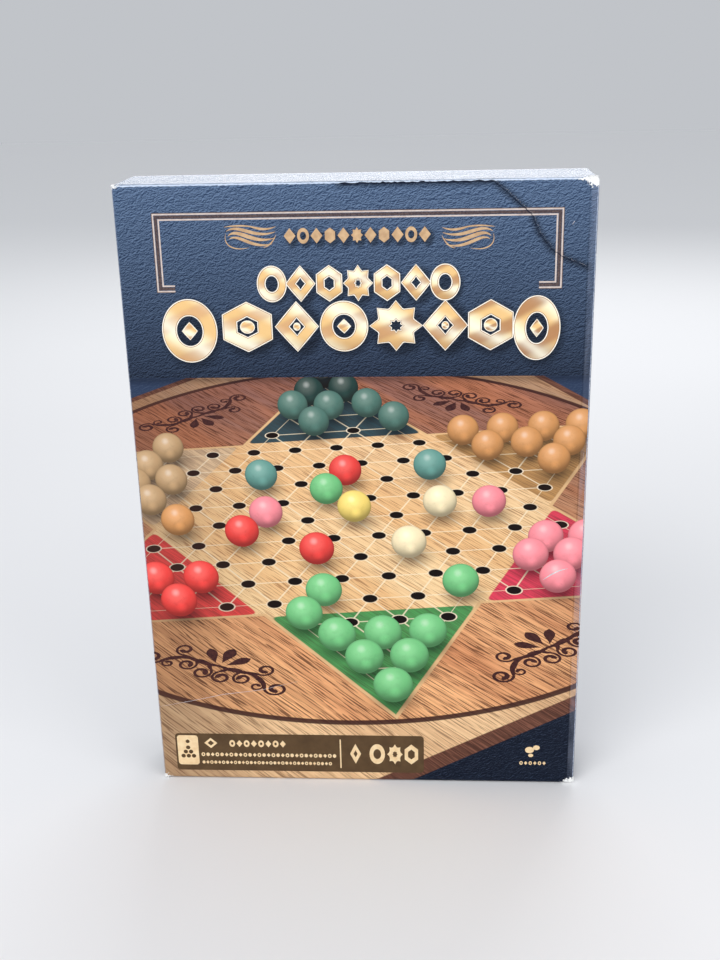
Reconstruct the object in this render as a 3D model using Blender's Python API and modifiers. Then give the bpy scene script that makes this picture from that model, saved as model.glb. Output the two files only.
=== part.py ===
"""Boxed Chinese checkers set: lift-off lid, base, folding board, ball tray, balls, leaflet.

Metres, +Z up. The box stands on a short side with its printed face towards -Y. The origin is
the middle of the box's outline, on the surface that the box stands on.
"""
import math

import bmesh
import bpy
from mathutils import Matrix, Vector

# Outside of the closed box
BOX_WIDTH = 0.187
BOX_DEPTH = 0.038
BOX_HEIGHT = 0.267

# Sheet stock and clearances
PAPER = 0.0004
CHIPBOARD = 0.0013
GAP = 0.0003
LID_CLEARANCE = 0.0005
BASE_SHOWING = 0.004
EDGE_RADIUS = 0.0010

# Folded ball tray with slotted dividers, and the spacer pads under the contents
TRAY_WALL = 0.0008
TRAY_CLEARANCE = 0.0004
POCKET_COUNT = 6
POCKET_DEPTH = 0.0126
SLOT_DEPTH = 0.0064
SLOT_WIDTH = 0.0014

# Folding board
LEAF_WIDTH = 0.126
LEAF_HEIGHT = 0.254
LEAF_THICKNESS = 0.0114
LEAF_CORNER = 0.074
FACE_GAP = 0.0003
LEAF_CLEARANCE = 0.0004
HOLE_PITCH = 0.0145
HOLE_RADIUS = 0.0023
HOLE_DEPTH = 0.003
TIP_ROWS = 4

# Butt hinges of the board
BARREL_RADIUS = 0.0014
BORE_RADIUS = 0.0009
PIN_RADIUS = 0.0006
HINGE_LENGTH = 0.032
HINGE_OFFSET = 0.070
PLATE_THICKNESS = 0.0008
PLATE_WIDTH = 0.0088
PLATE_STEP = 0.0018
MORTISE_DEPTH = 0.0011
SCREW_SPREAD = 0.0100
SCREW_HEAD_RADIUS = 0.0015
SCREW_HEAD_HEIGHT = 0.0006
SCREW_SHANK_RADIUS = 0.0008
SCREW_LENGTH = 0.0065

# Playing balls
BALL_RADIUS = 0.0055
BALL_PITCH = 0.0113
NECK_RADIUS = 0.0011
BALLS_PER_ROW = (4, 3, 3)

# Leaflet
LEAFLET_WIDTH = 0.140
LEAFLET_HEIGHT = 0.216
LEAFLET_THICKNESS = 0.0006

BALL_COLOURS = {
    "green": (0.05, 0.42, 0.13),
    "red": (0.60, 0.02, 0.03),
    "yellow": (0.85, 0.50, 0.08),
    "white": (0.80, 0.68, 0.42),
    "teal": (0.03, 0.20, 0.20),
    "pink": (0.80, 0.16, 0.22),
}

# Derived places
MIDDLE_Z = BOX_HEIGHT / 2
WALL = PAPER + GAP + CHIPBOARD
LID_INNER_X = BOX_WIDTH / 2 - WALL
LID_INNER_Z = BOX_HEIGHT / 2 - WALL
LID_FACE_Y = -BOX_DEPTH / 2
LID_INNER_Y = LID_FACE_Y + WALL
LID_RIM_Y = BOX_DEPTH / 2 - BASE_SHOWING
BASE_HALF_X = LID_INNER_X - LID_CLEARANCE
BASE_HALF_Z = LID_INNER_Z - LID_CLEARANCE
BASE_INNER_X = BASE_HALF_X - WALL
BASE_INNER_Z = BASE_HALF_Z - WALL
BASE_RIM_Y = LID_INNER_Y + GAP
BASE_BACK_Y = BOX_DEPTH / 2
BASE_INNER_Y = BASE_BACK_Y - WALL

LEAFLET_Y = BASE_RIM_Y
TRAY_FRONT_Y = LEAFLET_Y + LEAFLET_THICKNESS + GAP
TRAY_BACK_Y = BASE_INNER_Y - TRAY_CLEARANCE
TRAY_HALF_X = BASE_INNER_X - TRAY_CLEARANCE
TRAY_HALF_Z = BASE_INNER_Z - TRAY_CLEARANCE
TRAY_INNER_X = TRAY_HALF_X - TRAY_WALL
TRAY_INNER_Z = TRAY_HALF_Z - TRAY_WALL

FOLD_X = -TRAY_INNER_X + LEAF_CLEARANCE + BARREL_RADIUS
FOLD_Y = TRAY_FRONT_Y + GAP + LEAF_THICKNESS + FACE_GAP
LEAF_EDGE_X = FOLD_X + LEAF_CLEARANCE / 2
LEAF_FAR_X = LEAF_EDGE_X + LEAF_WIDTH
RECESS_FAR_X = LEAF_FAR_X + LEAF_CLEARANCE
RECESS_FLOOR_Y = FOLD_Y + FACE_GAP + LEAF_THICKNESS + LEAF_CLEARANCE

POCKET_X = RECESS_FAR_X + TRAY_WALL
POCKET_FLOOR_Y = TRAY_FRONT_Y + POCKET_DEPTH
POCKET_PITCH = (2 * TRAY_INNER_Z + TRAY_WALL) / POCKET_COUNT


def collection(name):
    made = bpy.data.collections.new(name)
    bpy.context.scene.collection.children.link(made)
    return made


def material(name, colour, roughness, metallic=0.0):
    made = bpy.data.materials.new(name)
    made.use_nodes = True
    shader = made.node_tree.nodes["Principled BSDF"]
    shader.inputs["Base Color"].default_value = (*colour, 1.0)
    shader.inputs["Roughness"].default_value = roughness
    shader.inputs["Metallic"].default_value = metallic
    made.diffuse_color = (*colour, 1.0)
    return made


def mesh_object(name, mesh_edit, finish=None):
    """Link a new object; it is a cutter or a joining piece when it has no finish."""
    mesh = bpy.data.meshes.new(name)
    mesh_edit.to_mesh(mesh)
    mesh_edit.free()
    piece = bpy.data.objects.new(name, mesh)
    if finish is None:
        cutters.objects.link(piece)
        piece.hide_render = True
        piece.display_type = "WIRE"
    else:
        parts.objects.link(piece)
        mesh.materials.append(finish)
    return piece


def box_mesh(mesh_edit, low, high):
    size = Vector(high) - Vector(low)
    middle = (Vector(high) + Vector(low)) / 2
    place = Matrix.Translation(middle) @ Matrix.Diagonal((*size, 1.0))
    return bmesh.ops.create_cube(mesh_edit, size=1.0, matrix=place)["verts"]


def box(name, low, high, finish=None):
    mesh_edit = bmesh.new()
    box_mesh(mesh_edit, low, high)
    return mesh_object(name, mesh_edit, finish)


def cylinder_mesh(mesh_edit, start, end, radius, sides):
    """A round bar between two points."""
    run = Vector(end) - Vector(start)
    turn = run.to_track_quat("Z", "Y").to_matrix().to_4x4()
    place = Matrix.Translation((Vector(start) + Vector(end)) / 2) @ turn
    bmesh.ops.create_cone(mesh_edit, cap_ends=True, segments=sides, radius1=radius,
                          radius2=radius, depth=run.length, matrix=place)


def cylinder(name, start, end, radius, sides, finish=None):
    mesh_edit = bmesh.new()
    cylinder_mesh(mesh_edit, start, end, radius, sides)
    return mesh_object(name, mesh_edit, finish)


def boolean(piece, tool, operation):
    step = piece.modifiers.new(operation.lower() + "_" + tool.name, "BOOLEAN")
    step.operation = operation
    step.solver = "EXACT"
    step.object = tool


def cut(piece, *tools):
    for tool in tools:
        boolean(piece, tool, "DIFFERENCE")


def join(piece, *tools):
    for tool in tools:
        boolean(piece, tool, "UNION")


def round_edges(piece, radius):
    step = piece.modifiers.new("rounded_edges", "BEVEL")
    step.width = radius
    step.segments = 2
    step.limit_method = "ANGLE"


def smooth(piece):
    piece.data.shade_smooth()
    piece.data.set_sharp_from_angle(angle=math.radians(40))


def carrier(name, place):
    """An empty on a joint's axis, which carries the pieces that move together."""
    empty = bpy.data.objects.new(name, None)
    empty.location = place
    empty.empty_display_size = 0.02
    parts.objects.link(empty)
    return empty


def attach(piece, empty):
    piece.data.transform(Matrix.Translation(-empty.location))
    piece.parent = empty


def box_shell(prefix, half_x, half_z, closed_y, rim_y, board_finish, paper_finish, empty):
    """A chipboard tray with a paper wrap that turns over its rim; it opens towards rim_y."""
    way = 1 if rim_y > closed_y else -1

    def block(name, inset, front_inset, rim_inset, finish=None):
        y_pair = sorted((closed_y + way * front_inset, rim_y - way * rim_inset))
        low = (-half_x + inset, y_pair[0], MIDDLE_Z - half_z + inset)
        high = (half_x - inset, y_pair[1], MIDDLE_Z + half_z - inset)
        return box(name, low, high, finish)

    board_inset = PAPER + GAP
    wrap = block(prefix + "_wrap", 0, 0, 0, paper_finish)
    round_edges(wrap, EDGE_RADIUS)
    glue_space = block(prefix + "_glue_space", PAPER, PAPER, PAPER)
    round_edges(glue_space, EDGE_RADIUS - PAPER)
    mouth = block(prefix + "_mouth", WALL, WALL, -BASE_SHOWING)
    cut(wrap, glue_space, mouth)

    board = block(prefix + "_board", board_inset, board_inset, board_inset, board_finish)
    round_edges(board, EDGE_RADIUS - PAPER - GAP)
    cut(board, mouth)
    for piece in (wrap, board):
        attach(piece, empty)


def divider_heights():
    low_z = MIDDLE_Z - TRAY_INNER_Z
    return [low_z + step * POCKET_PITCH - TRAY_WALL for step in range(1, POCKET_COUNT)]


def build_ball_tray(finish, empty):
    """A shallow folded tray; its long walls are slotted for the tabs of the dividers."""
    outside = 0.002
    tray = box("ball_tray",
               (RECESS_FAR_X, TRAY_FRONT_Y, MIDDLE_Z - TRAY_HALF_Z),
               (TRAY_HALF_X, POCKET_FLOOR_Y + TRAY_WALL, MIDDLE_Z + TRAY_HALF_Z), finish)
    cut(tray, box("ball_tray_mouth",
                  (POCKET_X, TRAY_FRONT_Y - outside, MIDDLE_Z - TRAY_INNER_Z),
                  (TRAY_INNER_X, POCKET_FLOOR_Y, MIDDLE_Z + TRAY_INNER_Z)))
    slots = bmesh.new()
    for z in divider_heights():
        middle = z + TRAY_WALL / 2
        box_mesh(slots,
                 (RECESS_FAR_X - outside, TRAY_FRONT_Y - outside, middle - SLOT_WIDTH / 2),
                 (TRAY_HALF_X + outside, TRAY_FRONT_Y + SLOT_DEPTH, middle + SLOT_WIDTH / 2))
    cut(tray, mesh_object("divider_slots", slots))
    attach(tray, empty)


def build_divider(number, low_z, finish, empty):
    """A T-shaped card: the tabs of its front half lie in the slots of the tray."""
    high_z = low_z + TRAY_WALL
    divider = box(f"ball_tray_divider_{number}",
                  (POCKET_X + GAP, TRAY_FRONT_Y + GAP, low_z),
                  (TRAY_INNER_X - GAP, POCKET_FLOOR_Y - GAP, high_z), finish)
    tab_end = TRAY_FRONT_Y + SLOT_DEPTH - GAP
    join(divider, box(f"divider_{number}_tabs",
                      (RECESS_FAR_X, TRAY_FRONT_Y + GAP, low_z),
                      (TRAY_HALF_X, tab_end, high_z)))
    attach(divider, empty)


def build_pads(finish, empty):
    """Spacer pads that lift the board and the ball tray to the rim of the base."""
    low_z = MIDDLE_Z - TRAY_HALF_Z
    high_z = MIDDLE_Z + TRAY_HALF_Z
    pads = (
        box("pad_board", (-TRAY_HALF_X, RECESS_FLOOR_Y, low_z),
            (RECESS_FAR_X - GAP, TRAY_BACK_Y, high_z), finish),
        box("pad_balls", (RECESS_FAR_X, POCKET_FLOOR_Y + TRAY_WALL + GAP, low_z),
            (TRAY_HALF_X, TRAY_BACK_Y, high_z), finish),
    )
    for pad in pads:
        attach(pad, empty)


def star_holes():
    """Hole places on the open board, from its middle: across the fold, and along it."""
    places = []
    reach = 2 * TIP_ROWS
    row_pitch = HOLE_PITCH * math.sqrt(3) / 2
    for row in range(-reach, reach + 1):
        for step in range(-3 * TIP_ROWS, 3 * TIP_ROWS + 1):
            if (step + row) % 2:
                continue
            second = (step + row) // 2
            third = (step - row) // 2
            up_triangle = row >= -TIP_ROWS and second <= TIP_ROWS and third >= -TIP_ROWS
            down_triangle = row <= TIP_ROWS and second >= -TIP_ROWS and third <= TIP_ROWS
            if up_triangle or down_triangle:
                places.append((step * HOLE_PITCH / 2, row * row_pitch))
    return places


def hinge_places():
    return {"low": MIDDLE_Z - HINGE_OFFSET, "high": MIDDLE_Z + HINGE_OFFSET}


def build_leaf(name, side, finish, empty):
    """Half of the board; side is +1 for the rear half and -1 for the front one."""
    y_face = FOLD_Y + side * FACE_GAP
    y_back = y_face + side * LEAF_THICKNESS
    mesh_edit = bmesh.new()
    box_mesh(mesh_edit,
             (LEAF_EDGE_X, min(y_face, y_back), MIDDLE_Z - LEAF_HEIGHT / 2),
             (LEAF_FAR_X, max(y_face, y_back), MIDDLE_Z + LEAF_HEIGHT / 2))
    far_edges = []
    for edge in mesh_edit.edges:
        along_y = abs(edge.verts[0].co.y - edge.verts[1].co.y) > LEAF_THICKNESS / 2
        if along_y and edge.verts[0].co.x > LEAF_FAR_X - GAP:
            far_edges.append(edge)
    bmesh.ops.bevel(mesh_edit, geom=far_edges, offset=LEAF_CORNER, offset_type="OFFSET",
                    segments=1, affect="EDGES", clamp_overlap=False)
    leaf = mesh_object(name, mesh_edit, finish)

    holes = bmesh.new()
    for across, along in star_holes():
        if across > -GAP:
            x = FOLD_X + across
            z = MIDDLE_Z + along
            cylinder_mesh(holes, (x, FOLD_Y, z), (x, y_face + side * HOLE_DEPTH, z),
                          HOLE_RADIUS, 8)
    cut(leaf, mesh_object(name + "_holes", holes))

    for label, z in hinge_places().items():
        half = HINGE_LENGTH / 2 + GAP
        y_pair = sorted((FOLD_Y, FOLD_Y + side * (PLATE_WIDTH + GAP)))
        mortise = box(name + "_mortise_" + label,
                      (LEAF_EDGE_X - MORTISE_DEPTH, y_pair[0], z - half),
                      (LEAF_EDGE_X + MORTISE_DEPTH, y_pair[1], z + half))
        barrel = cylinder(name + "_barrel_room_" + label,
                          (FOLD_X, FOLD_Y, z - half), (FOLD_X, FOLD_Y, z + half),
                          BARREL_RADIUS + GAP, 16)
        cut(leaf, mortise, barrel)
        for number, screw_z in enumerate(screw_heights(z), 1):
            y = screw_y(side)
            cut(leaf, cylinder(f"{name}_screw_hole_{label}_{number}",
                               (LEAF_EDGE_X, y, screw_z),
                               (LEAF_EDGE_X + SCREW_LENGTH + MORTISE_DEPTH, y, screw_z),
                               SCREW_SHANK_RADIUS + GAP, 8))
    attach(leaf, empty)


def screw_heights(hinge_z):
    return hinge_z - SCREW_SPREAD, hinge_z + SCREW_SPREAD


def screw_y(side):
    return FOLD_Y + side * (PLATE_STEP + PLATE_WIDTH) / 2


def build_plate(label, hinge_z, side, finish, empty):
    """One brass plate with its knuckles: two outer ones at the rear, the middle one in front."""
    name = f"hinge_{label}_plate_" + ("rear" if side > 0 else "front")
    half = HINGE_LENGTH / 2
    sixth = HINGE_LENGTH / 6
    if side > 0:
        knuckles = ((-half, -sixth - GAP / 2), (sixth + GAP / 2, half))
    else:
        knuckles = ((-sixth + GAP / 2, sixth - GAP / 2),)
    plate_x = LEAF_EDGE_X
    y_pair = sorted((FOLD_Y + side * PLATE_STEP, FOLD_Y + side * PLATE_WIDTH))
    plate = box(name, (plate_x, y_pair[0], hinge_z - half),
                (plate_x + PLATE_THICKNESS, y_pair[1], hinge_z + half), finish)
    for number, (low, high) in enumerate(knuckles, 1):
        tab_pair = sorted((FOLD_Y + side * BORE_RADIUS, FOLD_Y + side * (PLATE_STEP + GAP)))
        tab = box(f"{name}_tab_{number}",
                  (plate_x, tab_pair[0], hinge_z + low),
                  (plate_x + PLATE_THICKNESS, tab_pair[1], hinge_z + high))
        barrel = cylinder(f"{name}_knuckle_{number}", (FOLD_X, FOLD_Y, hinge_z + low),
                          (FOLD_X, FOLD_Y, hinge_z + high), BARREL_RADIUS, 12)
        join(plate, tab, barrel)
    cut(plate, cylinder(name + "_bore", (FOLD_X, FOLD_Y, hinge_z - 2 * half),
                        (FOLD_X, FOLD_Y, hinge_z + 2 * half), BORE_RADIUS, 12))
    for number, screw_z in enumerate(screw_heights(hinge_z), 1):
        y = screw_y(side)
        cut(plate, cylinder(f"{name}_hole_{number}", (plate_x - GAP, y, screw_z),
                            (plate_x + MORTISE_DEPTH, y, screw_z),
                            SCREW_HEAD_RADIUS + GAP, 12))
        build_screw(f"screw_{label}_" + ("rear" if side > 0 else "front") + f"_{number}",
                    (plate_x, y, screw_z), finish, empty)
    attach(plate, empty)


def build_screw(name, head_centre, finish, empty):
    """A turned profile along +X: a countersunk head, a plain shank and a point."""
    profile = (
        (0.0, 0.0),
        (SCREW_HEAD_RADIUS, 0.0),
        (SCREW_SHANK_RADIUS, SCREW_HEAD_HEIGHT),
        (SCREW_SHANK_RADIUS, SCREW_LENGTH * 0.8),
        (0.0, SCREW_LENGTH),
    )
    mesh_edit = bmesh.new()
    points = [mesh_edit.verts.new((depth, 0.0, radius)) for radius, depth in profile]
    for first, second in zip(points, points[1:]):
        mesh_edit.edges.new((first, second))
    bmesh.ops.spin(mesh_edit, geom=mesh_edit.verts[:] + mesh_edit.edges[:], cent=(0, 0, 0),
                   axis=(1, 0, 0), angle=math.tau, steps=8, use_merge=True)
    bmesh.ops.remove_doubles(mesh_edit, verts=mesh_edit.verts, dist=0.00001)
    bmesh.ops.recalc_face_normals(mesh_edit, faces=mesh_edit.faces)
    bmesh.ops.translate(mesh_edit, verts=mesh_edit.verts, vec=head_centre)
    screw = mesh_object(name, mesh_edit, finish)
    smooth(screw)
    attach(screw, empty)


def build_pin(label, hinge_z, finish, empty):
    reach = HINGE_LENGTH / 2
    pin = cylinder(f"hinge_{label}_pin", (FOLD_X, FOLD_Y, hinge_z - reach),
                   (FOLD_X, FOLD_Y, hinge_z + reach), PIN_RADIUS, 10, finish)
    smooth(pin)
    attach(pin, empty)


def ball_centres(pocket):
    """Three nested rows of balls lying on the floor of a pocket."""
    floor_z = MIDDLE_Z - TRAY_INNER_Z + pocket * POCKET_PITCH
    slack = TRAY_INNER_X - POCKET_X - 3 * BALL_PITCH - 2 * BALL_RADIUS
    first_x = POCKET_X + slack / 2 + BALL_RADIUS
    centres = []
    for row, count in enumerate(BALLS_PER_ROW):
        shift = 0.5 * (row % 2)
        if row == 2:
            shift = pocket % 2
        z = floor_z + TRAY_CLEARANCE + BALL_RADIUS + row * BALL_PITCH * math.sqrt(3) / 2
        for column in range(count):
            x = first_x + (column + shift) * BALL_PITCH
            centres.append(Vector((x, POCKET_FLOOR_Y - TRAY_CLEARANCE - BALL_RADIUS, z)))
    return centres


def build_balls(name, pocket, finish, empty):
    """Ten balls of one colour in their pocket, held in one piece by a small neck at each touch."""
    centres = ball_centres(pocket)
    spheres = bmesh.new()
    for centre in centres:
        bmesh.ops.create_icosphere(spheres, subdivisions=2, radius=BALL_RADIUS,
                                   matrix=Matrix.Translation(centre))
    balls = mesh_object(name, spheres, finish)
    smooth(balls)
    necks = bmesh.new()
    for index in range(1, len(centres)):
        near = [c for c in centres[:index] if (c - centres[index]).length < BALL_PITCH * 1.01]
        middle = (near[0] + centres[index]) / 2
        reach = (centres[index] - near[0]).normalized() * NECK_RADIUS * 1.5
        cylinder_mesh(necks, middle - reach, middle + reach, NECK_RADIUS, 4)
    join(balls, mesh_object(name + "_necks", necks))
    attach(balls, empty)


def build_leaflet(finish, empty):
    bottom = MIDDLE_Z - BASE_INNER_Z + TRAY_CLEARANCE
    leaflet = box("rules_leaflet",
                  (-LEAFLET_WIDTH / 2, LEAFLET_Y, bottom),
                  (LEAFLET_WIDTH / 2, LEAFLET_Y + LEAFLET_THICKNESS, bottom + LEAFLET_HEIGHT),
                  finish)
    attach(leaflet, empty)


for old in list(bpy.data.objects):
    bpy.data.objects.remove(old, do_unlink=True)

parts = collection("chinese_checkers_boxed_set")
cutters = collection("cutters")

chipboard = material("grey_chipboard", (0.42, 0.38, 0.33), 0.9)
printed_paper = material("printed_paper", (0.03, 0.06, 0.14), 0.45)
plain_paper = material("plain_navy_paper", (0.03, 0.06, 0.14), 0.55)
white_card = material("white_card", (0.80, 0.79, 0.75), 0.6)
corrugated = material("corrugated_board", (0.50, 0.34, 0.19), 0.85)
board_wood = material("board_wood", (0.55, 0.33, 0.16), 0.5)
brass = material("brass", (0.75, 0.55, 0.22), 0.3, 1.0)
white_paper = material("leaflet_paper", (0.85, 0.84, 0.80), 0.8)

base_place = carrier("base", (0, 0, 0))
lid_place = carrier("lid", (0, LID_FACE_Y, MIDDLE_Z))
leaflet_place = carrier("leaflet", (0, LEAFLET_Y, MIDDLE_Z))
tray_place = carrier("tray", (0, TRAY_FRONT_Y, MIDDLE_Z))
board_place = carrier("board", (FOLD_X, FOLD_Y, MIDDLE_Z))
fold_place = carrier("board_fold", (FOLD_X, FOLD_Y, MIDDLE_Z))

box_shell("lid", BOX_WIDTH / 2, BOX_HEIGHT / 2, LID_FACE_Y, LID_RIM_Y,
          chipboard, printed_paper, lid_place)
box_shell("base", BASE_HALF_X, BASE_HALF_Z, BASE_BACK_Y, BASE_RIM_Y,
          chipboard, plain_paper, base_place)
build_pads(corrugated, base_place)
build_ball_tray(white_card, tray_place)
for divider_number, divider_z in enumerate(divider_heights(), 1):
    build_divider(divider_number, divider_z, white_card, tray_place)
build_leaflet(white_paper, leaflet_place)
build_leaf("board_leaf_rear", 1, board_wood, board_place)
build_leaf("board_leaf_front", -1, board_wood, fold_place)
for hinge_label, hinge_height in hinge_places().items():
    build_plate(hinge_label, hinge_height, 1, brass, board_place)
    build_plate(hinge_label, hinge_height, -1, brass, fold_place)
    build_pin(hinge_label, hinge_height, brass, board_place)
for pocket_number, (ball_colour, rgb) in enumerate(BALL_COLOURS.items()):
    ball_finish = material("ball_" + ball_colour, rgb, 0.25)
    ball_place = carrier("ball_place_" + ball_colour, (0, TRAY_FRONT_Y, MIDDLE_Z))
    build_balls("balls_" + ball_colour, pocket_number, ball_finish, ball_place)
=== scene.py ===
import math
import random

import bmesh
import bpy
import numpy as np
from mathutils import Matrix, Vector, noise as shape_noise


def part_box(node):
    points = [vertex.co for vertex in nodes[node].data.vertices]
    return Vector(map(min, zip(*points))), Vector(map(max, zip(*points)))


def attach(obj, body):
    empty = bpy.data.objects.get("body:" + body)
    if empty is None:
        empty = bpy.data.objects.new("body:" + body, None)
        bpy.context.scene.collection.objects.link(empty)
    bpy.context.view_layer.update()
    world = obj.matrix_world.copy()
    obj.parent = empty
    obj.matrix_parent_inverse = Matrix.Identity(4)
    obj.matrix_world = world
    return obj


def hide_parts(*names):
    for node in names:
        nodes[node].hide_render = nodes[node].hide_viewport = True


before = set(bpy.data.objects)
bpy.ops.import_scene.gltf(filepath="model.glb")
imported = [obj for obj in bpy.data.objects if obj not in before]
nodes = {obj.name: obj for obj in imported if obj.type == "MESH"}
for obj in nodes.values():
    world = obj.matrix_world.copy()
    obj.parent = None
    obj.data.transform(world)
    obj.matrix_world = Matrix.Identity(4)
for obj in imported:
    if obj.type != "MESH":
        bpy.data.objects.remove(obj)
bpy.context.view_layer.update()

MM = 0.001
scene = bpy.context.scene
scene.view_settings.view_transform = "Standard"

# ---- places from the frame
lid_low, lid_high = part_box("lid_wrap")
LID_HALF_X = lid_high.x
LID_TOP = lid_high.z
LID_FRONT = lid_low.y
LID_RIM = lid_high.y

# Layers of print lie in front of the skin, all inside the lid's own depth
SKIN_INSET = 0.20 * MM
LAYER = 0.012 * MM

# The pictured board is seen in perspective: hole spacing is one unit
PICTURE_ELEVATION = math.radians(31.66)
PICTURE_AZIMUTH = math.radians(4.83)
PICTURE_ROLL = math.radians(-1.18)
PICTURE_DISTANCE = 31.0
PICTURE_FOCUS = 0.5818
PICTURE_CENTRE = (-0.0035, 0.1291)
BAND_LOW = 0.190

# The board's pattern, in hole spacings
ROW = math.sqrt(3) / 2
RIM_FROM = 7.86
HOLE_RADIUS = 0.152
GRAIN_TURN = math.radians(-56)


# ---- node arithmetic
class Wire:
    """A shader value that takes part in arithmetic."""

    def __init__(self, tree, socket):
        self.tree = tree
        self.socket = socket

    def __add__(self, other):
        return maths("ADD", self, other)

    __radd__ = __add__

    def __sub__(self, other):
        return maths("SUBTRACT", self, other)

    def __rsub__(self, other):
        return maths("SUBTRACT", other, self)

    def __mul__(self, other):
        return maths("MULTIPLY", self, other)

    __rmul__ = __mul__

    def __truediv__(self, other):
        return maths("DIVIDE", self, other)

    def step(self, soft):
        """0 below zero and 1 above it, with a soft step of that width."""
        return self.gate(0.0, soft)

    def gate(self, edge, soft):
        """0 below the edge and 1 above it, with a soft step of that width."""
        node = self.tree.nodes.new("ShaderNodeMapRange")
        node.interpolation_type = "SMOOTHSTEP"
        for name, value in (("Value", self), ("From Min", edge - soft / 2),
                            ("From Max", edge + soft / 2)):
            feed(node.inputs[name], value)
        return Wire(self.tree, node.outputs["Result"])


def feed(socket, value):
    """Link a wire to a node's socket, or set the socket to a plain value."""
    if isinstance(value, Wire):
        value.tree.links.new(value.socket, socket)
    else:
        socket.default_value = value


def tree_of(*values):
    """The node tree that the first wire among these values belongs to."""
    return next(item.tree for item in values if isinstance(item, Wire))


def maths(operation, *inputs):
    tree = tree_of(*inputs)
    node = tree.nodes.new("ShaderNodeMath")
    node.operation = operation
    for socket, value in zip(node.inputs, inputs):
        feed(socket, value)
    return Wire(tree, node.outputs[0])


def least(first, second):
    return maths("MINIMUM", first, second)


def most(first, second):
    return maths("MAXIMUM", first, second)


def size(value):
    return maths("ABSOLUTE", value)


def root(value):
    return maths("SQRT", value)


def ripple(value):
    """A wave of 0 to 1."""
    return maths("SINE", value) * 0.5 + 0.5


def to_whole(value):
    """Signed distance to the nearest whole number."""
    return value - maths("FLOOR", value + 0.5)


def join(*values):
    """A vector from three values."""
    tree = tree_of(*values)
    node = tree.nodes.new("ShaderNodeCombineXYZ")
    for socket, value in zip(node.inputs, values):
        feed(socket, value)
    return Wire(tree, node.outputs[0])


def split(vector):
    node = vector.tree.nodes.new("ShaderNodeSeparateXYZ")
    vector.tree.links.new(vector.socket, node.inputs[0])
    return [Wire(vector.tree, output) for output in node.outputs]


def cloud(place, scale=1.0, detail=2.0, roughness=0.5, distortion=0.0):
    """Noise, 0 to 1, at a place: a vector, or a tuple of three values."""
    if isinstance(place, tuple):
        place = join(*place)
    node = place.tree.nodes.new("ShaderNodeTexNoise")
    for name, value in (("Vector", place), ("Scale", scale), ("Detail", detail),
                        ("Roughness", roughness), ("Distortion", distortion)):
        feed(node.inputs[name], value)
    return Wire(place.tree, node.outputs["Fac"])


def linear(*rgb):
    """A colour as it should look on a lit surface, 0 to 255, as a shader colour."""
    out = []
    for part in rgb:
        part = part / 255
        out.append(part / 12.92 if part <= 0.04045 else ((part + 0.055) / 1.055) ** 2.4)
    return (*out, 1.0)


def mix(first, second, share, kind="MIX"):
    """Two colours, each a wire, a shader colour or three parts of 0 to 255, in that share."""
    first, second = [linear(*item) if isinstance(item, (tuple, list)) and len(item) == 3 else item
                     for item in (first, second)]
    if not any(isinstance(item, Wire) for item in (first, second, share)):
        return tuple(a + (b - a) * share for a, b in zip(first, second))
    tree = tree_of(first, second, share)
    node = tree.nodes.new("ShaderNodeMix")
    node.data_type = "RGBA"
    node.blend_type = kind
    node.clamp_result = kind == "ADD"
    for place, value in ((0, share), (6, first), (7, second)):
        feed(node.inputs[place], value)
    return Wire(tree, node.outputs[2])


def coats(colour, *layers):
    """A colour with layers of (colour, share) laid over it in turn."""
    for layer, share in layers:
        colour = mix(colour, layer, share)
    return colour


class Finish:
    """A material with its Principled shader at hand."""

    def __init__(self, name, roughness=0.5, metallic=0.0, specular=0.5):
        self.material = bpy.data.materials.new(name)
        self.material.use_nodes = True
        self.tree = self.material.node_tree
        self.shader = self.tree.nodes["Principled BSDF"]
        self.set("Roughness", roughness)
        self.set("Metallic", metallic)
        self.set("Specular IOR Level", specular)

    def uv(self, name):
        node = self.tree.nodes.new("ShaderNodeUVMap")
        node.uv_map = name
        return Wire(self.tree, node.outputs[0])

    def place(self):
        node = self.tree.nodes.new("ShaderNodeTexCoord")
        return Wire(self.tree, node.outputs["Object"])

    def attribute(self, name, output="Fac"):
        node = self.tree.nodes.new("ShaderNodeAttribute")
        node.attribute_name = name
        return Wire(self.tree, node.outputs[output])

    def colour(self, value):
        self.set("Base Color", value)

    def set(self, socket, value):
        feed(self.shader.inputs[socket], value)

    def bump(self, height, distance, strength=1.0):
        node = self.tree.nodes.new("ShaderNodeBump")
        for name, value in (("Distance", distance), ("Strength", strength), ("Height", height)):
            feed(node.inputs[name], value)
        self.set("Normal", Wire(self.tree, node.outputs["Normal"]))


# ---- the picture's perspective
def picture_axes():
    ca, sa = math.cos(PICTURE_AZIMUTH), math.sin(PICTURE_AZIMUTH)
    ce, se = math.cos(PICTURE_ELEVATION), math.sin(PICTURE_ELEVATION)
    ahead = np.array([sa * ce, ca * ce, -se])
    right = np.array([ca, -sa, 0.0])
    up = np.cross(right, ahead)
    cr, sr = math.cos(PICTURE_ROLL), math.sin(PICTURE_ROLL)
    return ahead, right * cr + up * sr, up * cr - right * sr


AHEAD, RIGHT, UP = picture_axes()


def to_panel(point):
    """Panel x and z, in metres, and nearness of a pictured point (across, away, up)."""
    point = np.asarray(point, float)
    depth = point @ AHEAD + PICTURE_DISTANCE
    return (PICTURE_CENTRE[0] + PICTURE_FOCUS * (point @ RIGHT) / depth,
            PICTURE_CENTRE[1] + PICTURE_FOCUS * (point @ UP) / depth,
            PICTURE_FOCUS / depth)


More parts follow.
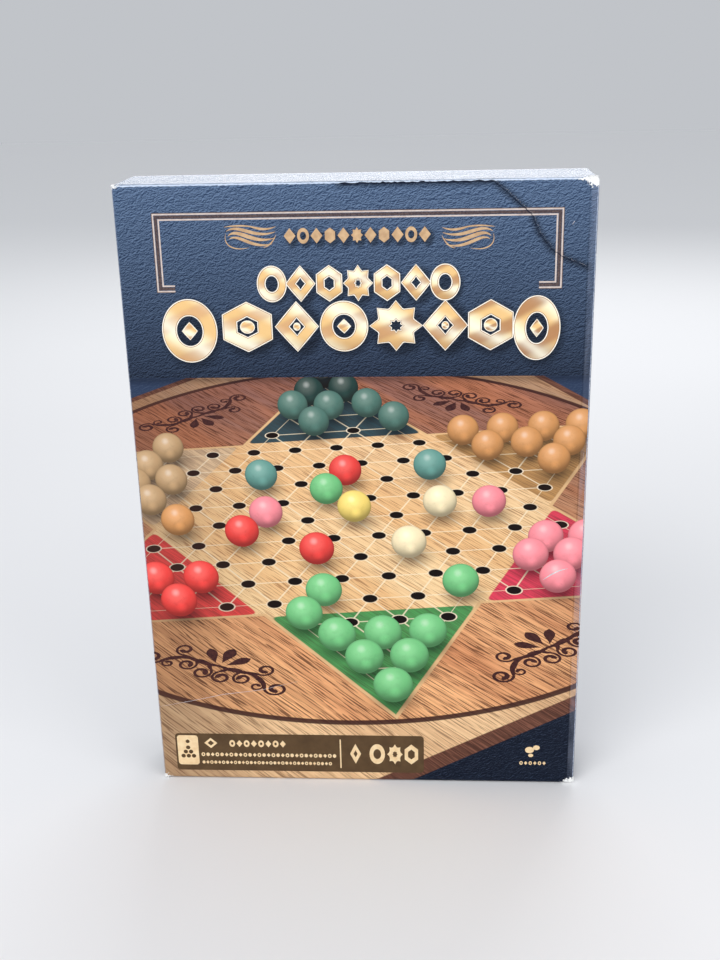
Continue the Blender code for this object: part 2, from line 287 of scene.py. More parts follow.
def to_board(x, z):
    """The pictured board's own coordinates at a place on the panel; arrays are fine."""
    side = (np.asarray(x, float) - PICTURE_CENTRE[0]) / PICTURE_FOCUS
    rise = (np.asarray(z, float) - PICTURE_CENTRE[1]) / PICTURE_FOCUS
    ray = AHEAD + side[..., None] * RIGHT + rise[..., None] * UP
    eye = -PICTURE_DISTANCE * AHEAD
    reach = eye[2] / np.maximum(-ray[..., 2], 0.02)
    return eye[0] + reach * ray[..., 0], eye[1] + reach * ray[..., 1]


# ---- board pattern, in nodes
def grain(u, v, turn):
    """Broad bands, fibres and dark pores of a plank whose grain runs at that angle."""
    along = u * math.cos(turn) + v * math.sin(turn)
    across = v * math.cos(turn) - u * math.sin(turn)
    wander = cloud((along * 0.16, across * 0.4, 3.1), detail=1.0) - 0.5
    bent = across + wander * 0.5
    band = cloud((along * 0.12, bent * 0.8, 7.7), detail=2.0)
    fibre = cloud((along * 0.40, bent * 15.0, 1.3), detail=3.0, roughness=0.70)
    pore = cloud((along * 1.15, bent * 32.0, 5.9), detail=1.5, roughness=0.5)
    return band, fibre, pore


def star_pattern(u, v):
    """Distances, in hole spacings, that draw the star: see the names of the result."""
    row = v / ROW
    second = u + row * 0.5
    third = u - row * 0.5
    rising = least(least(row + 4.0, 4.0 - second), third + 4.0)
    falling = least(least(4.0 - row, second + 4.0), 4.0 - third)
    inside = most(rising, falling)
    off_row, off_second, off_third = to_whole(row), to_whole(second), to_whole(third)
    line = least(least(size(off_row), size(off_second)), size(off_third)) * ROW
    near_u = (off_second + off_third) * 0.5
    near_v = (off_second - off_third) * ROW
    hole = root(near_u * near_u + near_v * near_v)
    return {"row": row, "second": second, "third": third, "inside": inside, "line": line,
            "hole": hole}


TIPS = {
    "top": ("row", 1, (52, 76, 84)),
    "bottom": ("row", -1, (82, 156, 88)),
    "right_high": ("second", 1, (198, 150, 94)),
    "left_low": ("second", -1, (244, 78, 76)),
    "right_low": ("third", 1, (232, 70, 94)),
    "left_high": ("third", -1, (234, 200, 160)),
}


def paint_board(u, v, fade, covered=None):
    """Colour of the board's playing face. fade darkens and reddens the ring's far half; covered
    is 1 where a pictured ball hides a pictured hole."""
    star = star_pattern(u, v)
    band, fibre, pore = grain(u, v, GRAIN_TURN)
    pores = pore.gate(0.570, 0.07)
    streak = fibre.gate(0.50, 0.28)

    disc = coats(
        mix((255, 192, 136), (146, 101, 90), fade),
        ((208, 130, 88), band.gate(0.52, 0.30) * 0.6),
        ((142, 84, 56), streak * 0.46),
        ((76, 40, 28), pores * 0.80))

    field = coats(
        mix((255, 224, 172), (240, 200, 152), fade),
        ((236, 186, 128), band.gate(0.50, 0.28) * 0.75),
        ((208, 152, 102), streak * 0.32),
        ((142, 88, 54), pores * 0.60))

    out = star["inside"] + 0.50
    colour = mix(disc, (226, 184, 134), out.step(0.03))
    colour = mix(colour, field, out.gate(0.09, 0.03))
    painted = 0.0
    for key, sign, rgb in TIPS.values():
        depth = (star[key] * sign - 4.56) * ROW
        shape = maths("SMOOTH_MIN", depth, (out - 0.09) * ROW, 0.28)
        dull = [0.60 * part + 0.40 * other for part, other in zip(rgb, (60, 40, 34))]
        paint = mix(rgb, dull, most(streak * 0.55, pores * 0.8))
        colour = mix(colour, paint, shape.step(0.03))
        painted = most(painted, shape.step(0.03))

    on_star = star["inside"].step(0.02)
    lines = (0.018 - star["line"]).step(0.012) * on_star
    colour = mix(colour, (250, 232, 198), lines * 0.72)
    holes_here = star["inside"].gate(-0.3, 0.02)
    if covered:
        holes_here = holes_here * (1.0 - covered)
    rims = (HOLE_RADIUS + 0.028 - star["hole"]).step(0.02) * holes_here
    colour = mix(colour, (244, 226, 198), rims * (painted * 0.35 + 0.60))
    if covered:
        holes = (HOLE_RADIUS - star["hole"]).step(0.02) * holes_here
        colour = mix(colour, (20, 12, 11), holes)

    away = root(u * u + v * v)
    rim = coats(
        mix((250, 210, 162), (180, 144, 116), fade),
        ((196, 146, 104), band.gate(0.52, 0.3) * 0.5),
        ((176, 128, 90), streak * 0.38),
        ((104, 68, 46), pores * 0.60))
    colour = mix(colour, rim, away.gate(RIM_FROM, 0.03))
    ring = (0.075 - size(away - RIM_FROM)).step(0.03)
    colour = mix(colour, (62, 34, 32), ring * 0.95)
    relief = fibre * 0.6 + pores * -0.8
    return colour, relief


def hide_grain(x, z, turn=20):
    """Creased leather, as printed: how light it is, from two looks at one noise."""
    ct, st = math.cos(math.radians(turn)), math.sin(math.radians(turn))
    along = (x * ct + z * st) * 1000.0
    across = (z * ct - x * st) * 1000.0

    def look(shift):
        return cloud((along * 0.52, (across + shift) * 0.92, 2.2), detail=3.0, roughness=0.60,
                     distortion=1.3)

    lift = look(0.14) - look(-0.14)
    fine = cloud((along * 1.6, across * 2.2, 8.0), detail=1.0)
    return lift * 5.4 + (fine - 0.5) * 0.6 + 0.5


def leather(x, z, light):
    """Navy leather colour; light is 0 in its dark parts and 1 where it catches the light."""
    tone = hide_grain(x, z)
    dark = mix((10, 17, 30), (40, 60, 92), light)
    bright = mix((48, 60, 82), (112, 136, 168), light)
    return mix(dark, bright, tone), tone


# ---- mesh helpers
def link(name, mesh):
    made = bpy.data.objects.new(name, mesh)
    scene.collection.objects.link(made)
    return made


def finish_mesh(name, bm, finish, smooth=False, facing=0):
    """An object from an edited mesh; facing turns its flat faces to +Y (1) or -Y (-1)."""
    if facing:
        bmesh.ops.recalc_face_normals(bm, faces=bm.faces)
    mesh = bpy.data.meshes.new(name)
    bm.to_mesh(mesh)
    bm.free()
    made = link(name, mesh)
    mesh.materials.append(finish.material)
    if smooth:
        mesh.shade_smooth()
    for face in mesh.polygons if facing else ():
        if face.normal.y * facing < 0:
            face.flip()
    return made


def bridge(bm, first, second, closed=False):
    """Quads between two rows of corners, or between two rings when closed."""
    count = len(first)
    return [bm.faces.new((first[step], first[(step + 1) % count], second[(step + 1) % count],
                          second[step])) for step in range(count if closed else count - 1)]


def map_faces(faces, uv, x, z, half_x, half_z):
    """Local coordinates of flat faces, -1 to 1 across the shape round (x, z)."""
    for face in faces:
        for loop in face.loops:
            spot = loop.vert.co
            loop[uv].uv = ((spot.x - x) / half_x, (spot.z - z) / half_z)


def spread(low, high, step):
    count = max(1, round((high - low) / step))
    return [low + (high - low) * place / count for place in range(count + 1)]


ROUNDING = (0.0, 0.2, 0.42, 0.68)  # where grid lines cross a rounded edge, as shares of it


def edge_stops(low, high, radius, step):
    """Grid lines from low to high, close together where the edges are rounded."""
    near = [radius * share for share in ROUNDING]
    return ([low + part for part in near] + spread(low + radius, high - radius, step)
            + [high - part for part in reversed(near)])


# ---- the lid's paper
EDGE = 1.5 * MM
TOP_DEPTH = 37 * MM
HALF = LID_HALF_X - SKIN_INSET
TOP = LID_TOP - SKIN_INSET
BOTTOM = SKIN_INSET
FRONT = LID_FRONT + SKIN_INSET
INNER_FACE = HALF - 91.35 * MM
FLAP_DEPTH = 14 * MM

BALL_SIZE = 0.375
BALL_LIFT = 0.32
BALL_TINTS = {
    "hidden_teal": (22, 30, 34), "deep_teal": (42, 69, 65), "dark_teal": (87, 126, 115),
    "teal": (108, 161, 150), "tan": (196, 160, 118), "orange": (220, 156, 97),
    "pink": (255, 147, 157), "red": (242, 74, 69), "green": (120, 201, 132),
    "yellow": (255, 224, 122), "cream": (255, 236, 192),
}
CREASE = ((-5.0, 266.0), (53.8, 266.0), (59.3, 261.2), (68.4, 253.2), (71.2, 246.4),
          (76.2, 239.9), (81.5, 236.5), (90.0, 233.0))
PRINTED_BALLS = {
    "deep_teal": ((15, -0.42), (15.1, 0.46)),
    "hidden_teal": ((16.1, 0.02),),
    "dark_teal": ((14.15, -0.89), (14, 0), (14, 0.94), (13.04, -0.45), (13.04, 1.5)),
    "tan": ((11.94, -4.04), (10.97, -4.54), (10.06, -4), (10, -4.85), (9, -4.5)),
    "orange": ((11.87, 5.84), (11.87, 4.94), (11.91, 3.97), (11.93, 3.03), (10.93, 5.38),
               (11, 4.4), (10.94, 3.47), (9.96, 4.85), (7.84, -3.9)),
    "teal": ((10.02, -1.91), (10.03, 2)),
    "pink": ((7.97, -1.92), (7.84, 3.04), (5.9, 3.96), (5.83, 4.8), (5.08, 3.5), (5, 4.34),
             (4, 3.88)),
    "red": ((10, 0.04), (7.06, -2.5), (5.97, -0.94), (4.92, -3.47), (5, -4.41), (3.92, -3.96)),
    "green": ((9.03, -0.48), (4.06, 1.89), (4, -0.95), (3.02, -1.43), (2.03, -0.85), (2, 0.06),
              (1.97, 0.95), (1.05, -0.4), (1, 0.47), (-0.12, 0.03)),
    "yellow": ((8, 0.06),),
    "cream": ((8, 1.97), (6.03, 1.05)),
}
BALL_PLACES = [(row, across, colour) for colour, spots in PRINTED_BALLS.items()
               for row, across in spots]


def rounded(points, inset=0.0):
    """Points of a sharp-edged box, pulled in to the lid's rounded edges; the rim stays sharp."""
    low = np.array([-HALF + EDGE, FRONT + EDGE, BOTTOM + EDGE])
    high = np.array([HALF - EDGE, 1.0, TOP - EDGE])
    core = np.clip(points, low, high)
    out = points - core
    length = np.linalg.norm(out, axis=-1, keepdims=True)
    reach = np.maximum(EDGE - inset, 0.02 * MM)
    return core + out / np.maximum(length, 1e-9) * np.minimum(length, reach)


def grid_quads(rows, columns, start):
    first = (np.arange(rows - 1)[:, None] * columns + np.arange(columns - 1)[None, :]).ravel()
    return np.stack([first, first + 1, first + columns + 1, first + columns], 1) + start


def sheet_mesh(name, patches):
    """One mesh from grids of (places, panel coordinates, turned over or not), merged at seams."""
    places, panels, quads, start = [], [], [], 0
    for place, panel, turned in patches:
        rows, columns = place.shape[:2]
        faces = grid_quads(rows, columns, start)
        quads.append(faces[:, ::-1] if turned else faces)
        places.append(place.reshape(-1, 3))
        panels.append(panel.reshape(-1, 2))
        start += rows * columns
    places, panels, quads = np.concatenate(places), np.concatenate(panels), np.concatenate(quads)
    mesh = bpy.data.meshes.new(name)
    mesh.from_pydata(places.tolist(), [], quads.tolist())
    corner = np.zeros(len(mesh.loops), np.int64)
    mesh.loops.foreach_get("vertex_index", corner)
    across, away = to_board(panels[:, 0], panels[:, 1])
    for layer, values in (("panel", panels), ("board", np.stack([across, away], 1))):
        uv = mesh.uv_layers.new(name=layer)
        uv.data.foreach_set("uv", values[corner].astype(np.float32).ravel())
    shade = mesh.attributes.new("shade", "FLOAT", "POINT")
    shade.data.foreach_set("value", printed_and_crease_shade(panels[:, 0], panels[:, 1]).astype(np.float32))
    covered = mesh.attributes.new("covered", "FLOAT", "POINT")
    covered.data.foreach_set("value", covered_holes(across, away).astype(np.float32))
    bm = bmesh.new()
    bm.from_mesh(mesh)
    bmesh.ops.remove_doubles(bm, verts=bm.verts, dist=0.002 * MM)
    bm.to_mesh(mesh)
    bm.free()
    mesh.shade_smooth()
    return mesh


def front_patch():
    x, z = np.meshgrid(edge_stops(-HALF, HALF, EDGE, 1.0 * MM), edge_stops(BOTTOM, TOP, EDGE, MM))
    sharp = np.stack([x, np.full_like(x, FRONT), z], -1)
    return rounded(sharp), np.stack([x, z], -1), False


def wall_patches():
    """The four side walls, each with the rim that turns over into a flap inside."""
    depths = [FRONT + EDGE * share for share in ROUNDING]
    depths += spread(FRONT + EDGE, LID_RIM - 0.3 * MM, 3 * MM)
    profile = [(0.0, y) for y in depths]
    profile += [(0.1 * MM, LID_RIM - 0.05 * MM), (0.35 * MM, LID_RIM - 0.02 * MM),
                (INNER_FACE - 0.35 * MM, LID_RIM - 0.02 * MM),
                (INNER_FACE - 0.1 * MM, LID_RIM - 0.05 * MM), (INNER_FACE, LID_RIM - 0.3 * MM),
                (INNER_FACE, LID_RIM - FLAP_DEPTH)]
    steps = [math.dist(a, b) for a, b in zip(profile, profile[1:])]
    travel = np.concatenate([[0], np.cumsum(steps)])[:, None]
    inset, y = (np.array(column)[:, None] for column in zip(*profile))
    patches = []
    for axis, side in ((0, 1), (0, -1), (2, 1), (2, -1)):
        low, high = (BOTTOM, TOP) if axis == 0 else (-HALF, HALF)
        run = np.array(edge_stops(low, high, EDGE, 4 * MM))[None, :]
        along = np.clip(run, low + inset, high - inset)
        if axis == 0:
            place, panel = (side * (HALF - inset), y, along), (side * (HALF + travel), run)
        elif side > 0:
            place, panel = (along, y, TOP - inset), (run, TOP + travel)
        else:
            place, panel = (along, y, BOTTOM + inset), (run, BOTTOM - travel)
        place, panel = (np.stack(np.broadcast_arrays(*part), -1) for part in (place, panel))
        place = rounded(place, np.minimum(inset, EDGE)[..., None])
        patches.append((place, panel, (axis == 0) == (side > 0)))
    return patches


def ball_place(row, across):
    """Panel x, z and radius of a pictured ball that lies on hole row 0 to 16."""
    x, z, near = to_panel((across, (row - 8) * ROW, BALL_LIFT))
    return float(x), float(z), BALL_SIZE * float(near)


def covered_holes(across, away):
    """1 round every hole that a pictured ball sits in, and 0 elsewhere."""
    cover = np.zeros_like(across)
    for row, ball_across, _ in BALL_PLACES:
        row = round(row)
        column = round(ball_across - row % 2 / 2) + row % 2 / 2
        off = np.hypot(across - column, away - (row - 8) * ROW)
        cover = np.maximum(cover, np.clip((0.36 - off) / 0.08, 0, 1))
    return cover


def printed_and_crease_shade(x, z):
    """Soft printed shadows under the pictured balls, the gold shapes and the leather's edge, and
    painted shade along the crease.
    """
    light = np.ones_like(x)
    for row, across, _ in BALL_PLACES:
        cx, cz, near = to_panel((across + 0.06, (row - 8) * ROW - 0.14, 0.0))
        reach = 0.44 * near
        away = np.hypot((x - cx) / reach, (z - cz) / (reach * 0.62))
        light *= 1 - 0.68 * np.clip(1.30 - away, 0, 1) ** 1.2 * (z < BAND_LOW)
    for cx, cz, half_x, half_z, *_ in gold_places():
        away = np.hypot((x - cx - 1.1 * MM) / half_x, (z - cz + 1.3 * MM) / half_z)
        light *= 1 - 0.62 * np.clip((1.26 - away) / 0.34, 0, 1)
    below = (BAND_LOW - z) / (3.5 * MM)
    light *= np.where(below > 0, 0.42 + 0.58 * np.clip(below, 0, 1), 1.0)
    # Painted shade along the crease, where the paper is dented
    fold = np.full_like(x, 1.0)
    for (x0, z0), (x1, z1) in zip(CREASE, CREASE[1:]):
        x0, z0, x1, z1 = x0 * MM, z0 * MM, x1 * MM, z1 * MM
        run = (x1 - x0) ** 2 + (z1 - z0) ** 2
        t = np.clip(((x - x0) * (x1 - x0) + (z - z0) * (z1 - z0)) / run, 0, 1)
        fold = np.minimum(fold, np.hypot(x - x0 - t * (x1 - x0), z - z0 - t * (z1 - z0)))
    light *= 1 - 0.62 * np.clip(1.30 - fold / (1.7 * MM), 0, 1)
    return np.where(np.abs(x) > HALF + 4 * MM, 1.0, light)


# ---- gold shapes on the leather
# Tips, radius between the tips, turn in degrees, and the hole's share of the width
SHAPES = {
    "lozenge": (4, 0.707, 0.0, 0.40), "star": (8, 0.70, 0.0, 0.30),
    "disc": (24, 1.0, 0.0, 0.52), "hexagon": (6, 0.866, 30.0, 0.46),
}


def outline(kind, angle):
    """Radius, at most 1, of a shape that has equal tips and straight sides between them."""
    tips, inner, phase, _ = SHAPES[kind]
    sector = math.pi / tips
    angle = (angle + math.radians(phase)) % (2 * sector)
    part = min(angle, 2 * sector - angle)
    if inner == 1.0:
        return 1.0
    return inner * math.sin(sector) / (math.sin(part) + inner * math.sin(sector - part))


LARGE_ROW = ("disc", "hexagon", "lozenge", "disc", "star", "lozenge", "hexagon", "disc")
LARGE_CENTRES = (-66.5, -43.2, -23.4, -4.6, 16.0, 35.4, 53.2, 71.2)
LARGE_WIDTHS = (21.5, 22.2, 16.8, 18.4, 20.4, 17.0, 19.6, 17.6)
MIDDLE_ROW = ("disc", "lozenge", "hexagon", "star", "hexagon", "lozenge", "disc")
SMALL_ROW = ("lozenge", "disc", "lozenge", "hexagon", "lozenge", "star", "lozenge", "hexagon",
             "lozenge", "disc", "lozenge")


def gold_places():
    """(x, z, half width, half height, kind, large or not) of every gold shape, in metres."""
    made = []
    for place, (kind, x, width) in enumerate(zip(LARGE_ROW, LARGE_CENTRES, LARGE_WIDTHS)):
        tall = 25.0 if place in (0, 7) else 19.6
        level = 209.4 if place in (0, 7) else 210.8
        made.append((x * MM, level * MM, width / 2 * MM, tall / 2 * MM, kind, True))
    for place, kind in enumerate(MIDDLE_ROW):
        x = -38.3 + 79.3 * (place + 0.5) / len(MIDDLE_ROW)
        made.append((x * MM, 227.9 * MM, 5.5 * MM, 6.8 * MM, kind, True))
    for place, kind in enumerate(SMALL_ROW):
        x = -27.4 + 57.5 * (place + 0.5) / len(SMALL_ROW)
        made.append((x * MM, 246.5 * MM, 2.3 * MM, 3.0 * MM, kind, False))
    return made


def layer_y(layer, order=0):
    """How far forward a print layer lies; shapes that touch in one layer differ in their order."""
    return FRONT - LAYER * (layer + 0.05 * order)


def plate(bm, shape, y, grow=0.0, hole=0.0, uv=None, steps=72):
    """A flat gold shape, or a band of it when it has a hole; grow widens it on both sides."""
    x, z, half_x, half_z, kind = shape[:5]
    rings = []
    for share, widen in ((1.0, grow), (hole, -grow)):
        ring = []
        for step in range(steps):
            angle = math.tau * step / steps
            radius = outline(kind, angle) * share
            across = math.cos(angle) * radius * half_x + math.cos(angle) * widen
            up = math.sin(angle) * radius * half_z + math.sin(angle) * widen
            if share == 0.0 or (widen < 0 and share * min(half_x, half_z) + widen <= 0):
                across = up = 0.0
            ring.append((across, up))
        rings.append(ring)
    outer = [bm.verts.new((x + a, y, z + b)) for a, b in rings[0]]
    if hole == 0.0 or rings[1][0] == (0.0, 0.0):
        middle = bm.verts.new((x, y, z))
        faces = [bm.faces.new((outer[step], outer[(step + 1) % steps], middle))
                 for step in range(steps)]
    else:
        inner = [bm.verts.new((x + a, y, z + b)) for a, b in rings[1]]
        faces = bridge(bm, outer, inner, closed=True)
    if uv:
        map_faces(faces, uv, x, z, half_x, half_z)


def ribbon(bm, points, widths, y, project=None):
    """A flat strip along panel points; it tapers as the widths do, and its corners are mitred."""
    points = [Vector(p) for p in points]
    if isinstance(widths, (int, float)):
        widths = [widths] * len(points)
    before = None
    for place, point in enumerate(points):
        back = point - points[place - 1] if place else points[1] - point
        ahead = points[place + 1] - point if place + 1 < len(points) else back
        back, ahead = back.normalized(), ahead.normalized()
        run = (back + ahead).normalized() if (back + ahead).length > 1e-6 else ahead
        side = Vector((-run.y, run.x))
        stretch = 1 / max(0.5, side.dot(Vector((-ahead.y, ahead.x))))
        reach = side * widths[place] / 2 * stretch
        pair = []
        for spot in (point + reach, point - reach):
            if project:
                spot = project(spot)
            pair.append(bm.verts.new((spot[0], y, spot[1])))
        if before:
            bm.faces.new((before[0], before[1], pair[1], pair[0]))
        before = pair


def swell(count, width, tip=0.1):
    """Widths of a stroke that swells in its middle and thins to both ends."""
    return [width * (tip + (1 - tip) * math.sin(math.pi * place / (count - 1)) ** 0.8)
            for place in range(count)]


def bezier(start, first, second, end, count=16):
    start, first, second, end = (Vector(p) for p in (start, first, second, end))
    made = []
    for place in range(count):
        t = place / (count - 1)
        s = 1 - t
        made.append(start * s ** 3 + first * 3 * s * s * t + second * 3 * s * t * t + end * t ** 3)
    return made


def curl(centre, start, radius, turns, shrink=0.30, count=26):
    """Points of a spiral round a centre, from its outer end inwards; angles in degrees."""
    made = []
    for place in range(count):
        t = place / (count - 1)
        angle = math.radians(start + 360 * turns * t)
        reach = radius * (1 - (1 - shrink) * t ** 0.85)
        made.append(Vector((centre[0] + reach * math.cos(angle),
                            centre[1] + reach * math.sin(angle))))
    return made


# ---- print finishes
def print_finish(name):
    """The printed paper of the lid: leather above, the pictured board below, wear and painted
    highlights at the edges, a painted glare on the top and painted shade along the crease.
    """
    made = Finish(name, roughness=0.42, specular=0.10)
    x, z, _ = split(made.uv("panel"))
    u, v, _ = split(made.uv("board"))
    shade = made.attribute("shade")

    lit = most(0.0, least(1.0, (z - 0.187) * 10.8))
    navy, tone = leather(x, z, lit)

    fade = z.gate(0.125, 0.13)
    wood, relief = paint_board(u, v, fade, made.attribute("covered"))
    # Past the octagon's sides that cross the picture: 0 on a side, and more outside it
    corner = most(u * 0.8887 + v * 0.4586 - 7.91,
                  most(v * 0.8192 - u * 0.5736 - 8.33, u * 0.4848 - v * 0.8746 - 8.09))
    edge_wood = mix((128, 84, 68), (70, 44, 36), relief.gate(0.25, 0.5))
    low_navy = mix((12, 20, 36), (44, 58, 84), z.gate(0.16, 0.05))
    low_navy = mix(low_navy, (70, 84, 108), (tone - 0.5) * 0.5)
    thick = 0.21 + (0.0 - v).step(2.0) * 0.16
    picture = mix(wood, edge_wood, corner.step(0.03))
    left_dark = (0.0 - x - 0.035).gate(0.025, 0.07)
    right_dark = (x - 0.06).gate(0.018, 0.05)
    low_dark = left_dark * (0.085 - z).step(0.06)
    picture = coats(
        picture,
        ((76, 46, 38), left_dark * 0.42 + right_dark * 0.16 + low_dark * 0.12),
        (low_navy, (corner - thick).step(0.03)))

    on_band = most(z.gate(BAND_LOW, 0.0002), size(x).gate(HALF + 0.0045, 0.0006))
    on_band = most(on_band, (0.0 - z).gate(0.004, 0.0006))
    on_top = (z - TOP).step(0.001) * (TOP_DEPTH - (z - TOP)).step(0.002)
    # Pale scuffs on the top face, and a painted glare that brightens its first millimetres behind
    # the front edge
    scuffs_and_glare = cloud((x * 34.0, z * 90.0, 6.0), detail=4.0, roughness=0.65)
    scuffs_and_glare = scuffs_and_glare + (0.004 - (z - TOP)).step(0.008) * 0.16
    navy = mix(navy, (206, 214, 232), scuffs_and_glare.gate(0.60, 0.26) * on_top * 0.34)
    colour = mix(picture, navy, on_band)
    # Printed shadows, and painted shade along the crease, from the shade attribute
    colour = mix((8, 10, 18), colour, shade)

    # A painted highlight in a band along the right edge, where the rounded edge catches the light,
    # and a thin dark line just inside it; noise makes both uneven
    edge_unevenness = cloud((x * 300.0, z * 46.0, 9.0), detail=3.0, roughness=0.6)
    from_edge = HALF - x
    strip = (0.0030 - from_edge).step(0.0007) * (from_edge + 0.0006).step(0.0004)
    colour = mix(colour, (150, 158, 178), strip * (0.07 + edge_unevenness.gate(0.5, 0.3) * 0.16))
    dark_edge_line = (0.00022 - size(from_edge - 0.0034)).step(0.0004)
    colour = mix(colour, (16, 18, 28), dark_edge_line * (0.16 + edge_unevenness.gate(0.5, 0.3) * 0.22))

    ragged = cloud((x * 900.0, z * 900.0, 4.0), detail=3.0, roughness=0.65)
    to_side = size(HALF - size(x))
    to_top, to_foot = size(TOP - z), size(z - BOTTOM)
    right = x.step(0.001)
    reach_top = right * 0.0020 + 0.0014
    reach_foot = right * 0.0010 + 0.0019
    high_corner = reach_top - root(to_side * to_side * 0.45 + to_top * to_top)
    low_corner = reach_foot - root(to_side * to_side * 0.34 + to_foot * to_foot)
    tear = (0.0016 - to_top) - (1.0 - x.gate(0.083, 0.022)) * 0.004
    worn = most(most(high_corner, low_corner), tear) * 900.0 + (ragged - 0.5) * 5.0
    # Pale lines along the sides and the top edge: worn paper, with a painted highlight on the
    # rounded edge; worn is the white paper core at the torn corners
    reach_edge = right * 0.00025 + 0.00030
    edge_line = (reach_edge - least(to_side, to_top)) * 4200.0 + (ragged - 0.54) * 5.0
    top_line = (0.0008 - to_top) * 2600.0 + (ragged - 0.5) * 4.0
    colour = coats(
        colour,
        ((150, 166, 196), edge_line.step(1.6) * 0.60),
        ((216, 222, 232), edge_line.gate(1.3, 0.8) * 0.85),
        ((218, 232, 252), top_line.gate(0.6, 1.4) * 0.85),
        ((252, 252, 250), worn.step(0.6)))
    made.colour(colour)
    made.set("Roughness", 0.40 - on_top * 0.18 + worn.step(0.6) * 0.45
             + (ragged - 0.5) * 0.12)
    crumple = cloud((x * 60.0, z * 60.0, 1.0), detail=2.0)
    made.bump(crumple * 0.3 + tone * on_band * 0.12 + worn.step(0.6) * 0.5, 0.35 * MM, 0.6)
    return made


def gold_finish():
    made = Finish("gold_print", roughness=0.34, specular=0.30)
    across, up, _ = split(made.uv("local"))
    x, _, z = split(made.place())
    rich = most(0.0, least(1.0, (x + 0.05) * 8.0))
    wave = ripple(up * 3.3 + across * 1.4 + x * 55.0)
    second = ripple(up * 4.6 - across * 2.1 + x * 31.0 + 1.4)
    made.colour(coats(
        mix((240, 198, 134), (255, 242, 202), wave.gate(0.50, 0.9)),
        ((214, 152, 122), second.gate(0.75, 0.4) * 0.35),
        ((166, 112, 70), second.gate(0.58, 0.7) * (rich * 0.65 + 0.12)),
        ((150, 102, 66), (0.0 - up).gate(0.55, 0.6) * (rich * 0.4 + 0.25)),
        ((255, 252, 232), maths("POWER", wave, 8.0) * 0.6)))
    made.bump(cloud((x * 500.0, z * 500.0, 0.0)), 0.02 * MM, 0.3)
    return made


def ink_finish(name, rgb, other, scale=420.0, roughness=0.42):
    """A colour whose tone wanders a little: printed inks, scratches, the worn paper core, and the
    crease's painted shade and highlight.
    """
    made = Finish(name, roughness=roughness, specular=0.12)
    x, _, z = split(made.place())
    speck = cloud((x * scale, z * scale, 0.0), detail=3.0)
    made.colour(mix(rgb, other, speck.gate(0.5, 0.5)))
    made.bump(speck, 0.015 * MM, 0.3)
    return made


def ball_print_finish():
    made = Finish("ball_print", roughness=0.42, specular=0.10)
    across, up, _ = split(made.uv("local"))
    tint = made.attribute("tint", "Color")
    flat = across * across + up * up
    out = root(most(0.0, 1.0 - flat))
    light = out * 0.62 + up * 0.56 - across * 0.12
    deep = mix(tint, (26, 18, 16), 0.66)
    pale = mix(tint, (255, 250, 236), 0.10)

    def spot_of_light(x0, y0, tight, power):
        off = (across - x0) * (across - x0) + (up - y0) * (up - y0)
        return maths("POWER", most(0.0, 1.0 - off * tight), power)

    colour = coats(
        mix(deep, tint, light.gate(0.23, 0.96)),
        (deep, flat.gate(0.92, 0.30) * 0.40),
        (pale, spot_of_light(-0.14, 0.34, 1.7, 1.5) * 0.80))
    colour = mix(colour, tint, spot_of_light(-0.14, 0.38, 2.6, 1.5) * 0.22, "ADD")
    colour = mix(colour, (255, 254, 248), spot_of_light(-0.16, 0.44, 11.0, 2.0) * 0.26)
    colour = mix(colour, tint, spot_of_light(0.10, -0.44, 6.0, 2.0) * 0.24, "ADD")
    speck = cloud((across * 3.0, up * 3.0, split(made.place())[0] * 90.0),
                  detail=4.0, roughness=0.65)
    colour = mix(colour, deep, speck.gate(0.60, 0.22) * (0.13 - up * 0.10))
    made.colour(colour)
    return made


# ---- build the lid
leather_print = print_finish("printed_lid_paper")
cream_ink = ink_finish("cream_ink", (250, 224, 180), (238, 204, 156))
white_ink = ink_finish("white_ink", (255, 250, 240), (248, 236, 214))
line_ink = ink_finish("line_ink", (216, 202, 194), (198, 180, 172))
brown_ink = ink_finish("brown_ink", (98, 76, 52), (84, 64, 44), scale=160.0)
dark_ink = ink_finish("dark_ink", (54, 28, 30), (78, 44, 40), scale=700.0)
mitre_ink = ink_finish("bracket_middle_ink", (104, 88, 84), (60, 52, 60), scale=1500.0)
# Dark colour of the crease's painted shade line
crease_shade_ink = ink_finish("crease_shade_ink", (12, 18, 32), (30, 42, 66), 900.0)
# Pale colour of the scratches and of the crease's painted highlight
scratch_and_highlight_ink = ink_finish("scratch_and_highlight_ink", (240, 232, 232), (200, 194, 202))
worn_core = ink_finish("worn_paper_core", (255, 255, 253), (224, 224, 222), 900.0, 0.9)
gold_print = gold_finish()


def on_lid(piece):
    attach(piece, "lid")


lid_print = link("lid_print_front", sheet_mesh("lid_print_front", [front_patch()]))
lid_walls = link("lid_print_walls", sheet_mesh("lid_print_walls", wall_patches()))
for sheet_piece in (lid_print, lid_walls):
    sheet_piece.data.materials.append(leather_print.material)
    on_lid(sheet_piece)
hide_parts("lid_wrap")


def printed(name, bm, finish):
    """A thin layer on the lid's front: print, scratches, and the crease's painted shade and
    highlight.
    """
    on_lid(finish_mesh(name, bm, finish, facing=-1))


